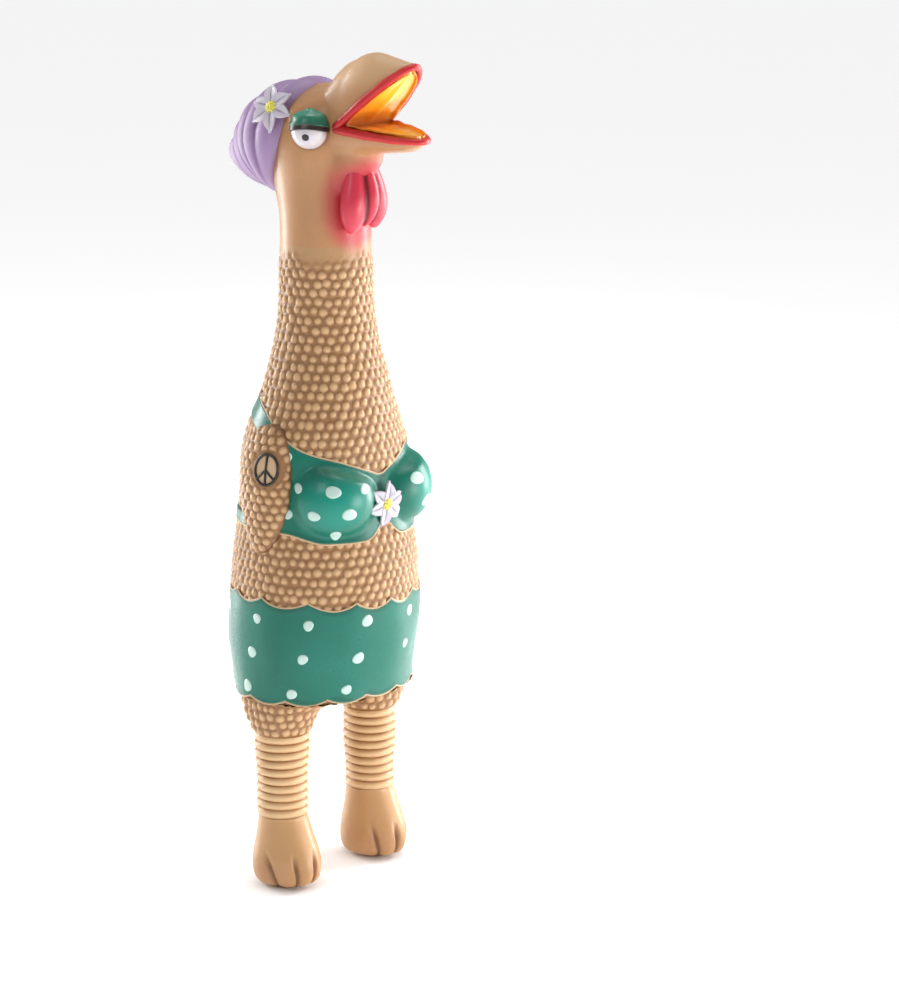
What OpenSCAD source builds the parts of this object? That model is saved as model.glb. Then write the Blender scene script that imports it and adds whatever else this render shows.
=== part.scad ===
// Rubber chicken squeeze toy: a hollow latex bird in a turban and a two-piece swimsuit,
// with a reed squawker pressed into a collar at the seat of its shorts.
// The bird faces -Y, +Z is up, and the origin is on the ground in the middle of its plan.

/* [Levels] */
// Height of a foot, from sole to ankle
foot_h = 37; // [30:1:45]
// Length of the ribbed shank, from ankle to knee
shank_len = 43; // [35:1:52]
// Height of the thigh, from knee to crotch
thigh_h = 19; // [15:1:24]
// Length of the torso, from crotch to the end of the shoulders
torso_len = 154; // [128:1:185]
// Length of the neck, from the shoulders to the jaw
neck_len = 78; // [65:1:94]

/* [Widths] */
// Width of the torso, side to side
body_w = 90; // [75:1:108]
// Depth of the torso, front to back
body_d = 90; // [75:1:108]
// Diameter of the slim part of the neck
neck_w = 44.6; // [37:0.2:54]
// Distance between the two legs, centre to centre
leg_spacing = 62; // [52:1:75]
// Diameter of a thigh where it leaves the shorts
thigh_w = 37; // [31:0.5:45]
// Diameter of a shank at the knee
knee_w = 27.6; // [23:0.2:33]
// Diameter of a shank at the ankle
ankle_w = 24; // [20:0.2:28]
// Width of a foot
foot_w = 32; // [27:0.5:38]
// Reach of the toes in front of the ankle's axis
foot_front = 22; // [18:0.5:27]
// Reach of the heel behind the ankle's axis
foot_back = 15; // [12.5:0.5:18]

/* [Skin] */
// Thickness of the latex
wall = 2.2; // [1.6:0.1:3]
// How far the swimsuit stands out of the skin
relief = 0.8; // [0.5:0.1:1.4]
// Clearance between pieces that lie on each other
seat_gap = 0.05; // [0.03:0.01:0.1]
// Number of ribs on each shank
ribs = 10; // [8:1:14]
// Depth of the grooves between the ribs
rib_depth = 1; // [0.6:0.1:1.4]

/* [Head] */
// Width of the head
head_w = 50; // [42:1:60]
// Height of the head above the jaw line
head_h = 83; // [69:1:100]
// Reach of the lower beak in front of the spine
beak_reach = 70; // [58:1:84]
// Width of the beak at the corners of the mouth
mouth_w = 32; // [27:1:38]
// Slope of the upper beak above the lower one, in degrees
gape = 46; // [38:1:50]
// Thickness of the red edge of the beak
lip_d = 4; // [3:0.2:5]
// Diameter of an eyeball
eye_d = 17.5; // [14.5:0.5:21]
// Reach of the turban behind the spine
turban_reach = 62; // [52:1:74]
// Length of the wattle
wattle_len = 37; // [31:1:44]
// Width of the wattle
wattle_w = 23; // [19:0.5:27]

/* [Trim] */
// Height of the cups above the crotch
cup_z = 102; // [92:1:106]
// Diameter of a cup
cup_d = 42; // [35:1:50]
// Distance between the centres of the cups
cup_spacing = 40; // [34:1:48]
// Height of the shorts' waist above the crotch
waist_z = 56; // [46:1:62]
// Number of scallops round the waist
scallops = 13; // [9:1:17]
// Height of a wing
wing_h = 66; // [55:1:79]
// Width of a wing
wing_w = 34; // [28:1:41]
// Width of the arm badge
badge_d = 17; // [14:0.5:20]
// Length of a flower's petals from its centre
petal_len = 11; // [9:0.5:13]

/* [Squawker] */
// Height of the squawker's axis above the crotch
squawker_z = 27; // [24:1:32]
// Outer diameter of the barrel
barrel_d = 22; // [18:0.5:26]
// Length of the barrel behind its flange
barrel_len = 34; // [28:1:42]
// Thickness of the barrel's wall
barrel_wall = 1.2; // [0.9:0.1:1.6]
// Thickness of the latex collar round the barrel
collar_wall = 2.4; // [1.8:0.1:3]
// Thickness of the flange and the grille
plate_t = 1.5; // [1:0.1:2]
// Width of the reed
reed_w = 6; // [5:0.5:7.5]
// Thickness of the reed
reed_t = 0.3; // [0.2:0.05:0.4]
// Lift of the free reed off its seat, in degrees
reed_lift = 6; // [4:0.5:8]

/* [Hidden] */

eps = 0.5; // overrun of a cut past the face it opens
leaf = 0.01; // thickness of a section in a hull
body_fn = 32; // sides of a section of the body
ball_fn = 20; // sides of a small round form
round_fn = 64; // sides of a turned piece
far = 200; // reach of a cut that takes all on one side

// Levels
ankle_z = foot_h;
knee_z = ankle_z + shank_len;
crotch_z = knee_z + thigh_h;
shoulder_z = crotch_z + torso_len;
jaw_z = shoulder_z + neck_len;
neck_low_z = shoulder_z + neck_len * 0.4; // the end of the neck's lower bend
throat_low_z = shoulder_z + neck_len * 0.68; // the start of the upper bend
throat_top_z = shoulder_z + neck_len * 0.88; // the end of the upper bend

// The spine stands where it puts the beak and the turban at equal distances from the origin
spine_y = (beak_reach - turban_reach) / 2;
function fwd(f) = spine_y - f;
function level(share) = jaw_z + head_h * share;

skin_tan = [0.84, 0.66, 0.46];
suit_teal = [0.05, 0.55, 0.46];
turban_lilac = [0.62, 0.5, 0.72];
lip_red = [0.78, 0.1, 0.12];
mouth_orange = [0.95, 0.6, 0.08];
petal_white = [0.95, 0.94, 0.96];
heart_yellow = [0.9, 0.82, 0.2];
line_brown = [0.13, 0.07, 0.07];
lid_green = [0.1, 0.45, 0.35];
squawker_grey = [0.8, 0.82, 0.84];
reed_brass = [0.85, 0.7, 0.3];

// ---- Smooth outlines ----
// A curve through [position, value] points, flat at both ends of the list
function span(t, p, i = 0) = i >= len(p) - 2 || t < p[i + 1][0] ? i : span(t, p, i + 1);
function ease(x) = x <= 0 ? 0 : x >= 1 ? 1 : x * x * (3 - 2 * x);
function slope(p, i) = i <= 0 || i >= len(p) - 1 ? 0
  : (p[i + 1][1] - p[i - 1][1]) / (p[i + 1][0] - p[i - 1][0]);
function hermite(x, v0, v1, m0, m1) =
  (2 * x ^ 3 - 3 * x ^ 2 + 1) * v0 + (x ^ 3 - 2 * x ^ 2 + x) * m0
  + (3 * x ^ 2 - 2 * x ^ 3) * v1 + (x ^ 3 - x ^ 2) * m1;
function curve(t, p) =
  let (u = max(p[0][0], min(p[len(p) - 1][0], t)), i = span(u, p), w = p[i + 1][0] - p[i][0])
  hermite((u - p[i][0]) / w, p[i][1], p[i + 1][1], slope(p, i) * w, slope(p, i + 1) * w);

// ---- The trunk: its half width, front reach and back reach at each level ----
// Shares of the torso's half width and half depth, against the share of the torso's length
side_shares = [[0, 1.06], [0.15, 1.06], [0.4, 1.02], [0.62, 0.95], [0.78, 0.93], [0.86, 0.87], [1, 0.7]];
front_shares = [[0, 0.82], [0.2, 0.95], [0.4, 0.98], [0.6, 0.86], [0.75, 0.78], [0.86, 0.73], [1, 0.66]];
back_shares = [[0, 0.9], [0.2, 1.06], [0.4, 1.03], [0.62, 0.95], [0.78, 0.92], [0.88, 0.82], [1, 0.66]];
neck_axis = 3; // how far the neck's axis is in front of the spine
torso_steps = 12;

function torso_share(z) = (z - crotch_z) / torso_len;
function neck_flare(z) = max(0, 1 - (z - shoulder_z) / (0.62 * neck_len)) ^ 2;
function reach(z, half, shares) = z > shoulder_z
  ? neck_w / 2 + (half * curve(1, shares) - neck_w / 2) * neck_flare(z)
  : half * curve(torso_share(z), shares);
function trunk_side(z) = reach(z, body_w / 2, side_shares);
function trunk_front(z) = reach(z, body_d / 2, front_shares);
function trunk_back(z) = reach(z, body_d / 2, back_shares);
function trunk_axis(z) = neck_axis * ease(torso_share(z));

// The points of a rounded outline: half width, front and back reach round an axis
function ring(f, z, side, front, back, x = 0) = [for (i = [0:body_fn - 1]) let (a = 360 * i / body_fn)
  [x + side * cos(a), fwd(f) + (sin(a) < 0 ? front : back) * sin(a), z]];

// A closed form through rings of points, one above the other
module loft(rings) {
  n = len(rings[0]);
  last = (len(rings) - 1) * n;
  polyhedron(points = [for (r = rings) each r], faces = concat(
    [[for (i = [0:n - 1]) i], [for (i = [n - 1:-1:0]) last + i]],
    [for (k = [0:len(rings) - 2], i = [0:n - 1]) let (j = (i + 1) % n, low = k * n, high = low + n)
      [low + i, high + i, high + j, low + j]]));
}

// The space between two stacks of rings, open at both ends
module loft_tube(outer, inner) {
  n = len(outer[0]);
  m = len(outer);
  inside = m * n;
  top = (m - 1) * n;
  function next(i) = (i + 1) % n;
  polyhedron(points = concat([for (r = outer) each r], [for (r = inner) each r]), faces = concat(
    [for (k = [0:m - 2], i = [0:n - 1]) let (low = k * n, high = low + n)
      [low + i, high + i, high + next(i), low + next(i)]],
    [for (k = [0:m - 2], i = [0:n - 1]) let (low = inside + k * n, high = low + n)
      [low + i, low + next(i), high + next(i), high + i]],
    [for (i = [0:n - 1]) [i, next(i), inside + next(i), inside + i]],
    [for (i = [0:n - 1]) [top + i, inside + top + i, inside + top + next(i), top + next(i)]]));
}

// Joins what it holds into one mesh, at its own size
module as_one_mesh() {
  resize([0, 0, 0]) children();
}

function trunk_ring(z, grow = 0) =
  ring(trunk_axis(z), z, trunk_side(z) + grow, trunk_front(z) + grow, trunk_back(z) + grow);
function trunk_rings(z_low, z_high, steps, grow = 0) =
  [for (i = [0:steps]) trunk_ring(z_low + (z_high - z_low) * i / steps, grow)];

// The whole torso's form, which all that lies on it is cut from
module torso_form(grow = 0) {
  loft(trunk_rings(crotch_z, shoulder_z, torso_steps, grow));
}

// A length of the hollow trunk, open at both ends
module trunk_tube(z_low, z_high, steps) {
  loft_tube(trunk_rings(z_low, z_high, steps), trunk_rings(z_low, z_high, steps, -wall));
}

// The bird's right side is at -X; this carries a form across to the other side
module other_side() {
  mirror([1, 0, 0]) children();
}

// ---- Torso, neck and legs ----
squawker_level = crotch_z + squawker_z;
squawker_y = fwd(-trunk_back(squawker_level)) + relief + 1; // the collar's outer face
collar_d = barrel_d + 2 * collar_wall;

// Turns a form that points along +Z to point out of the back at the squawker's place
module at_squawker() {
  translate([0, squawker_y, squawker_level]) rotate([-90, 0, 0]) children();
}

module collar_hole() {
  at_squawker() translate([0, 0, -20]) cylinder(h = 40, d = collar_d + 2 * seat_gap, $fn = 48);
}

module torso_skin() {
  color(skin_tan)
    as_one_mesh() difference() {
      trunk_tube(crotch_z, shoulder_z, torso_steps);
      collar_hole();
    }
}

// A thin round of a leg at a level
module leg_round(z, d) {
  translate([leg_spacing / 2, fwd(0), z]) cylinder(h = leaf, d = d, $fn = body_fn);
}

saddle_t = wall * 1.5; // thickness of the skin where the thighs meet

// Half of the pelvis's underside with its thigh; a shrink makes the form of its inside
module thigh_form(shrink) {
  hip_z = crotch_z - thigh_h * 0.4;
  hull() {
    intersection() {
      translate([0, 0, crotch_z - (shrink > 0 ? leaf : saddle_t)])
        linear_extrude(shrink > 0 ? leaf + eps : saddle_t)
          polygon([for (p = trunk_ring(crotch_z, -shrink)) [p[0], p[1]]]);
      translate([shrink > 0 ? -shrink : 0, -far / 2, 0]) cube([far, far, far * 2]);
    }
    leg_round(hip_z, thigh_w - 2 * shrink);
  }
  hull() {
    leg_round(hip_z, thigh_w - 2 * shrink);
    leg_round(knee_z + thigh_h * 0.25, knee_w + 4 - 2 * shrink);
    leg_round(knee_z - (shrink > 0 ? eps : 0), knee_w - 2 * shrink);
  }
}

module hip_skin() {
  color(skin_tan)
    as_one_mesh() difference() {
      union() {
        thigh_form(0);
        other_side() thigh_form(0);
      }
      thigh_form(wall);
      other_side() thigh_form(wall);
    }
}

module neck_base_skin() {
  color(skin_tan) trunk_tube(shoulder_z, neck_low_z, 4);
}

module neck_skin() {
  color(skin_tan) trunk_tube(neck_low_z, throat_low_z, 4);
}

module throat_skin() {
  color(skin_tan) trunk_tube(throat_low_z, throat_top_z, 2);
}

// A shank's radius at a share of its height
function shank_r(t) = ankle_w / 2 + (knee_w - ankle_w) / 2 * t;

module shank() {
  rib = shank_len / ribs;
  color(skin_tan)
    translate([leg_spacing / 2, fwd(0), ankle_z])
      rotate_extrude($fn = round_fn)
        polygon(concat(
          [for (i = [0:ribs - 1]) each [
            [shank_r(i / ribs) - rib_depth, rib * i],
            [shank_r(i / ribs), rib * (i + 0.3)],
            [shank_r((i + 1) / ribs), rib * (i + 0.75)]]],
          [[knee_w / 2 - rib_depth, shank_len], [knee_w / 2 - wall, shank_len],
           [ankle_w / 2 - wall, 0]]));
}

// A foot's levels: [share of height, share of width, share of toe reach, share of heel reach]
foot_levels = [[0, 0.62, 0.62, 0.66], [0.08, 0.84, 0.86, 0.88], [0.22, 0.98, 1, 1],
  [0.42, 1, 0.96, 0.98], [0.7, 0.86, 0.76, 0.86], [0.9, 0.78, 0.62, 0.82]];

function foot_rings(shrink) = concat(
  [for (v = foot_levels) ring(0, max(v[0] * foot_h, shrink), foot_w / 2 * v[1] - shrink,
    foot_front * v[2] - shrink, foot_back * v[3] - shrink, leg_spacing / 2)],
  [ring(0, foot_h + (shrink > 0 ? eps : 0), ankle_w / 2 - shrink, ankle_w / 2 - shrink,
    ankle_w / 2 - shrink, leg_spacing / 2)]);

module foot() {
  color(skin_tan)
    as_one_mesh() difference() {
      loft(foot_rings(0));
      loft([for (k = [1:len(foot_levels)]) foot_rings(wall)[k]]);
    }
}

// ---- Head ----
// The head's half width, front and back reach against the share of its height
head_side_curve = [[0, neck_w / 2], [0.25, head_w * 0.46], [0.5, head_w / 2], [0.68, head_w * 0.42],
  [0.77, head_w * 0.25], [0.81, head_w * 0.1]];
head_front_curve = [[0, neck_w / 2], [0.25, neck_w / 2], [0.5, head_w * 0.46], [0.68, head_w * 0.46],
  [0.77, head_w * 0.31], [0.81, head_w * 0.14]];
head_back_curve = [[0, neck_w / 2], [0.25, head_w * 0.54], [0.5, head_w * 0.62], [0.68, head_w * 0.54],
  [0.77, head_w * 0.32], [0.81, head_w * 0.12]];
head_top = 0.81; // share of the head's height at which the skull ends
head_steps = 10;

function head_ring(share, grow) = ring(neck_axis, level(share) + (share > 0.6 * head_top ? grow : 0),
  curve(share, head_side_curve) + grow, curve(share, head_front_curve) + grow,
  curve(share, head_back_curve) + grow);

// The solid form of the head above the throat, grown by a thickness
module head_form(grow = 0) {
  r = neck_w / 2 + grow;
  loft(concat([ring(neck_axis, throat_top_z + (grow < 0 ? -eps : 0), r, r, r)],
    [for (i = [0:head_steps]) head_ring(head_top * i / head_steps, grow)]));
}

eye_x = head_w * 0.42;
eye_f = 14;
eye_z = level(0.565);

module at_eye() {
  translate([eye_x, fwd(eye_f), eye_z]) children();
}

module head_skin() {
  color(skin_tan)
    as_one_mesh() difference() {
      head_form(0);
      head_form(-wall);
      at_eye() eye_room(2 * seat_gap);
      other_side() at_eye() eye_room(2 * seat_gap);
    }
}

// Room for an eyeball: its flat facets lie at least the gap outside the ball
module eye_room(gap) {
  sphere(d = (eye_d + 2 * gap) / pow(cos(180 / ball_fn), 2), $fn = ball_fn);
}

module eyeball() {
  color(petal_white) at_eye() sphere(d = eye_d, $fn = 48);
}

// The direction in which an eye looks: out to the side, to the front and a little down
module along_gaze() {
  rotate([0, 0, -32]) rotate([0, 106, 0]) children();
}

module pupil() {
  color(line_brown)
    at_eye() along_gaze()
      intersection() {
        difference() {
          sphere(d = eye_d + 1, $fn = 48);
          sphere(d = eye_d + 2 * seat_gap, $fn = 48);
        }
        cylinder(h = eye_d, d = eye_d * 0.24, $fn = 32);
      }
}

lid_t = 1.6; // thickness of an eyelid

module eyelid() {
  color(lid_green)
    as_one_mesh() difference() {
      at_eye()
        difference() {
          sphere(d = eye_d + 2 * lid_t, $fn = ball_fn);
          eye_room(4 * seat_gap);
          rotate([0, 8, 0]) translate([-far / 2, -far / 2, eye_d * 0.1 - far]) cube(far);
        }
      head_form(seat_gap);
    }
}

// ---- Beak ----
// The mouth: an edge across its corners, a roof that slopes up and a floor that slopes down
corner_f = neck_axis + head_w * 0.48;
corner_z = level(0.585);
floor_slope = -6;
roof_slope = floor_slope + gape;
tip_f = beak_reach - lip_d / 2;
mouth_reach = tip_f - corner_f;
upper_share = 0.86; // reach of the upper beak's tip as a share of the lower's
upper_tip_f = corner_f + mouth_reach * upper_share;
beak_steps = 8;

// The beak's half width at a share of its reach past the corners, round at the tip
function tip_round(t) = mouth_w / 2 * sqrt(max(0, 1 - max(0, t) ^ 2.2)) * (1 - 0.1 * max(0, t));
function roof_z(f) = corner_z + tan(roof_slope) * (f - corner_f);
function floor_z(f) = corner_z + tan(floor_slope) * (f - corner_f);
function upper_reach(t) = corner_f + (upper_tip_f - corner_f) * t;
function lower_reach(t) = corner_f + mouth_reach * t;

// Heights of the beak above its roof and depths below its floor, against the share of the reach
upper_rise = [[-0.5, 18], [-0.2, 28], [0, 31.5], [0.3, 26.5], [0.6, 16], [0.85, 7], [1, 3]];
lower_drop = [[-0.5, 20], [0, 18], [0.3, 11.5], [0.6, 8.5], [0.85, 6], [1, 2.5]];

// An upright outline through a beak, round about a level
function beak_ring(f, z, half, height) = [for (i = [0:ball_fn - 1]) let (a = 360 * i / ball_fn)
  [half * cos(a), fwd(f), z + height * sin(a)]];

// A form that has one outline of [reach, level] points, seen from the side
module side_profile(points, width) {
  translate([0, spine_y, 0])
    rotate([90, 0, 90])
      linear_extrude(width, center = true)
        polygon([for (p = points) [-p[0], p[1]]]);
}

module below_line(slope) {
  side_profile([[-far, corner_z], [corner_f, corner_z], [far, corner_z + tan(slope) * (far - corner_f)],
    [far, 0], [-far, 0]], far);
}

module above_line(slope) {
  side_profile([[-far, corner_z], [corner_f, corner_z], [far, corner_z + tan(slope) * (far - corner_f)],
    [far, crotch_z + far * 3], [-far, crotch_z + far * 3]], far);
}

base_t = -0.45; // share of the reach at which a beak starts inside the head

// The share of the reach at each step, closer together towards the tip
function beak_t(i) = base_t + (1 - base_t) * sin(90 * i / beak_steps);

module upper_beak_form() {
  loft([for (i = [0:beak_steps]) let (t = beak_t(i), f = upper_reach(t))
    beak_ring(f, t > 0 ? roof_z(f) : corner_z, max(tip_round(t), 1), curve(t, upper_rise))]);
}

module lower_beak_form(grow = 0) {
  loft([for (i = [0:beak_steps]) let (t = beak_t(i), f = lower_reach(t))
    beak_ring(f, t > 0 ? floor_z(f) : corner_z, max(tip_round(t), 1) + grow, curve(t, lower_drop) + grow)]);
}

lip_steps = 7; // stretches of a lip on each side
lip_fn = 10;

// A cord of latex round the edge of a beak, from each corner of the mouth to the tip
module lip_form(tip, slope, d) {
  function edge(side, k) = let (t = sin(90 * k / lip_steps))
    [side * tip_round(t), fwd(corner_f + (tip - corner_f) * t), corner_z + tan(slope) * (tip - corner_f) * t];
  for (side = [-1, 1], k = [0:lip_steps - 1])
    hull() {
      translate(edge(side, k)) sphere(d = d, $fn = lip_fn);
      translate(edge(side, k + 1)) sphere(d = d, $fn = lip_fn);
    }
}

module upper_beak() {
  color(skin_tan)
    as_one_mesh() difference() {
      upper_beak_form();
      translate([0, 0, seat_gap]) below_line(roof_slope);
      lip_form(upper_tip_f, roof_slope, lip_d + 2 * seat_gap);
      head_form(seat_gap);
      at_eye() sphere(d = eye_d + 2 * lid_t + 4 * seat_gap, $fn = ball_fn);
      other_side() at_eye() sphere(d = eye_d + 2 * lid_t + 4 * seat_gap, $fn = ball_fn);
    }
}

module lower_beak() {
  color(skin_tan)
    as_one_mesh() difference() {
      lower_beak_form();
      translate([0, 0, -seat_gap]) above_line(floor_slope);
      lip_form(tip_f, floor_slope, lip_d + 2 * seat_gap);
      head_form(seat_gap);
    }
}

module upper_lip() {
  color(lip_red)
    as_one_mesh() difference() {
      lip_form(upper_tip_f, roof_slope, lip_d);
      translate([0, 0, seat_gap]) below_line((roof_slope + floor_slope) / 2);
      head_form(seat_gap);
    }
}

module lower_lip() {
  color(lip_red)
    as_one_mesh() difference() {
      lip_form(tip_f, floor_slope, lip_d);
      translate([0, 0, -seat_gap]) above_line((roof_slope + floor_slope) / 2);
      head_form(seat_gap);
    }
}

lining_t = 1.4;

// The upright block that fits inside a lip
module inside_lip(tip) {
  translate([0, 0, crotch_z])
    linear_extrude(far * 3)
      polygon([for (k = [-10:10]) let (t = sin(9 * k))
        [(k < 0 ? -1 : 1) * max(0.1, tip_round(1 - abs(t)) - lip_d / 2 - seat_gap),
         fwd(corner_f + (tip - lip_d - corner_f) * (1 - abs(t)))]]);
}

// A sheet on the roof or the floor of the mouth, on the inner side of its line
module lining_sheet(slope, tip, side) {
  end = tip - lip_d - corner_f;
  rise = tan(slope) * end;
  gap = 2 * seat_gap * side;
  side_profile([[corner_f + 3 * seat_gap, corner_z + gap], [corner_f + end, corner_z + rise + gap],
    [corner_f + end, corner_z + rise + gap + side * lining_t],
    [corner_f + 4, corner_z + tan(slope) * 4 + gap + side * lining_t * 1.1],
    [corner_f + 3 * seat_gap, corner_z + side * 0.3]], mouth_w);
}

module mouth_lining() {
  color(mouth_orange)
    as_one_mesh() difference() {
      union() {
        intersection() {
          lining_sheet(roof_slope, upper_tip_f, -1);
          inside_lip(upper_tip_f);
        }
        intersection() {
          lining_sheet(floor_slope, tip_f, 1);
          inside_lip(tip_f);
        }
      }
      lip_form(upper_tip_f, roof_slope, lip_d + 4 * seat_gap);
      lip_form(tip_f, floor_slope, lip_d + 4 * seat_gap);
    }
}

wattle_top = level(0.375);

module wattle() {
  color(lip_red)
    as_one_mesh() difference() {
      for (side = [-1, 1])
        hull() {
          translate([side * wattle_w * 0.16, fwd(neck_axis + neck_w * 0.5), wattle_top - wattle_len * 0.2])
            scale([0.8, 0.9, 1.2]) sphere(d = wattle_w * 0.5, $fn = ball_fn);
          translate([side * wattle_w * 0.23, fwd(neck_axis + neck_w * 0.53), wattle_top - wattle_len * 0.75])
            scale([1, 0.85, 1]) sphere(d = wattle_w * 0.54, $fn = ball_fn);
        }
      head_form(seat_gap);
      lower_beak_form(seat_gap);
    }
}

// ---- Turban ----
cap_t = 3; // thickness of the turban round the head
roll_axis = [-8, 0.47]; // the rolls' axis leaves the head here: [reach, share of the head's height]
roll_dip = 8; // how far the rolls' axis dips to the back, in degrees
roll_span = (turban_reach + roll_axis[0]) / cos(roll_dip);
roll_share = [0.2, 0.44, 0.67, 0.85]; // middle of each roll along the axis
roll_ring = [0.42, 0.36, 0.25, 0.1]; // radius of each roll's ring, as a share of the span
roll_thick = [0.17, 0.16, 0.15, 0.15]; // radius of each roll, as a share of the span

module rolls_form(grow = 0) {
  translate([0, fwd(roll_axis[0]), level(roll_axis[1])])
    rotate([-90 - roll_dip, 0, 0])
      rotate_extrude($fn = body_fn)
        intersection() {
          union() {
            for (i = [0:3])
              translate([roll_span * roll_ring[i], roll_span * roll_share[i]])
                circle(r = roll_span * roll_thick[i] + grow, $fn = 16);
            polygon([[0, 0], [roll_span * roll_ring[0], 0], [roll_span * roll_ring[0], roll_span * roll_share[0]],
              [roll_span * roll_ring[3], roll_span * (roll_share[3] + 0.1) + grow],
              [0, roll_span * 0.99 + grow * 1.5]]);
          }
          square([far, far]);
        }
}

module turban_cap() {
  color(turban_lilac)
    as_one_mesh() difference() {
      intersection() {
        head_form(cap_t + seat_gap);
        side_profile([[4, level(1)], [-1, level(0.7)], [-4, level(0.5)], [-9, level(0.3)], [-15, level(0.12)],
          [-far, level(0.12)], [-far, level(1)]], far);
      }
      head_form(seat_gap);
    }
}

module turban_rolls() {
  color(turban_lilac)
    as_one_mesh() difference() {
      rolls_form();
      rolls_form(-wall);
      head_form(cap_t + 2 * seat_gap);
    }
}

// ---- Flowers ----
petal_t = 1.6;

boss_depth = 8;
hub_d = petal_len * 0.72;

// Six petals on a short boss that goes down to what the flower sits on
module petal_ring() {
  linear_extrude(petal_t) {
    circle(d = hub_d, $fn = ball_fn);
    for (i = [0:5])
      rotate(60 * i)
        polygon([[petal_len * 0.1, -petal_len * 0.1], [petal_len * 0.6, -petal_len * 0.25],
          [petal_len * 0.88, -petal_len * 0.13], [petal_len, 0], [petal_len * 0.88, petal_len * 0.13],
          [petal_len * 0.6, petal_len * 0.25], [petal_len * 0.1, petal_len * 0.1]]);
  }
  translate([0, 0, -boss_depth]) cylinder(h = boss_depth + petal_t / 2, d = hub_d * 0.85, $fn = ball_fn);
}

module flower_heart() {
  translate([0, 0, petal_t + seat_gap])
    intersection() {
      sphere(d = petal_len * 0.5, $fn = 32);
      translate([-far / 2, -far / 2, 0]) cube([far, far, far]);
    }
}

flower_lift = 5; // how far the turban's flower stands out of its place

module at_turban_flower() {
  translate([-head_w * 0.5, fwd(-6), level(0.68)]) rotate([0, 0, 10]) rotate([0, -66, 0]) children();
}

module turban_petals() {
  color(petal_white)
    as_one_mesh() difference() {
      at_turban_flower() translate([0, 0, flower_lift]) petal_ring();
      head_form(cap_t + 3 * seat_gap);
      rolls_form(3 * seat_gap);
    }
}

module turban_flower_heart() {
  color(heart_yellow) at_turban_flower() translate([0, 0, flower_lift]) flower_heart();
}

// ---- Swimsuit ----
cup_level = crotch_z + cup_z;
cup_f = trunk_axis(cup_level) + trunk_front(cup_level) - cup_d * 0.32;

module cups(grow = 0) {
  for (side = [-1, 1])
    translate([side * cup_spacing / 2, fwd(cup_f), cup_level])
      sphere(d = cup_d + 2 * grow, $fn = 30);
}

// The top seen from the side, as [reach, height above the cups' level] in cup radiuses: the
// neckline rises to the back of the neck, and a strap and a narrow band are all there is behind
top_outline = [[3, -0.97], [3, 0.4], [1.9, 0.6], [0, 1.75], [-2.4, 2.7], [-2.4, 2.15], [-0.5, 1.3],
  [-0.5, -0.3], [-3, -0.5], [-3, -0.97]];

module bikini_top() {
  unit = cup_d / 2;
  color(suit_teal)
    as_one_mesh() difference() {
      union() {
        intersection() {
          torso_form(relief + seat_gap);
          side_profile([for (p = top_outline) [p[0] * unit, cup_level + p[1] * unit]], far);
        }
        cups();
      }
      torso_form(seat_gap);
      cups(-wall);
    }
}

module at_bikini_flower() {
  translate([0, fwd(cup_f + cup_d * 0.475), cup_level - cup_d * 0.1]) rotate([96, 0, 0]) children();
}

module bikini_petals() {
  color(petal_white)
    as_one_mesh() difference() {
      at_bikini_flower() petal_ring();
      torso_form(relief + 2 * seat_gap);
      cups(seat_gap);
    }
}

module bikini_flower_heart() {
  color(heart_yellow) at_bikini_flower() flower_heart();
}

scallop_depth = 4;
drum_fn = scallops * 8;

// A drum whose top edge hangs in scallops and whose bottom edge follows them
module scalloped_drum(z_low, z_high, r) {
  function dip(i) = scallop_depth * abs(cos(180 * scallops * i / drum_fn));
  rings = concat(
    [for (i = [0:drum_fn - 1]) [r * cos(360 * i / drum_fn), r * sin(360 * i / drum_fn), z_low + dip(i)]],
    [for (i = [0:drum_fn - 1]) [r * cos(360 * i / drum_fn), r * sin(360 * i / drum_fn), z_high + dip(i)]],
    [[0, 0, z_low], [0, 0, z_high]]);
  polyhedron(points = rings, faces = concat(
    [for (i = [0:drum_fn - 1]) let (j = (i + 1) % drum_fn) [i, drum_fn + i, drum_fn + j, j]],
    [for (i = [0:drum_fn - 1]) let (j = (i + 1) % drum_fn) [i, j, 2 * drum_fn]],
    [for (i = [0:drum_fn - 1]) let (j = (i + 1) % drum_fn) [drum_fn + j, drum_fn + i, 2 * drum_fn + 1]]));
}

module swim_shorts() {
  color(suit_teal)
    as_one_mesh() difference() {
      intersection() {
        torso_form(relief + seat_gap);
        translate([0, spine_y, 0])
          scalloped_drum(crotch_z + 0.5, crotch_z + waist_z - scallop_depth, body_w);
      }
      torso_form(seat_gap);
      collar_hole();
    }
}

// ---- Wings ----
wing_level = cup_level + 4;
wing_f = 1;
wing_out = trunk_side(wing_level) - wing_w * 0.06;
wing_fn = 20;

module wing_form(grow = 0) {
  hull() {
    translate([-wing_out, fwd(wing_f), wing_level + wing_h / 2 - wing_w / 2])
      scale([0.55, 1, 1]) sphere(d = wing_w + 2 * grow, $fn = wing_fn);
    translate([-wing_out - 1.5, fwd(wing_f - 1), wing_level])
      scale([0.5, 0.95, 1]) sphere(d = wing_w + 2 * grow, $fn = wing_fn);
    translate([-wing_out - 2, fwd(wing_f - 2), wing_level - wing_h / 2 + wing_w * 0.38])
      scale([0.56, 0.95, 1]) sphere(d = wing_w * 0.76 + 2 * grow, $fn = wing_fn);
  }
}

module wing() {
  color(skin_tan)
    as_one_mesh() difference() {
      wing_form();
      torso_form(relief + 2 * seat_gap);
    }
}

line_w = 1.5; // width of the badge's lines

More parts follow.
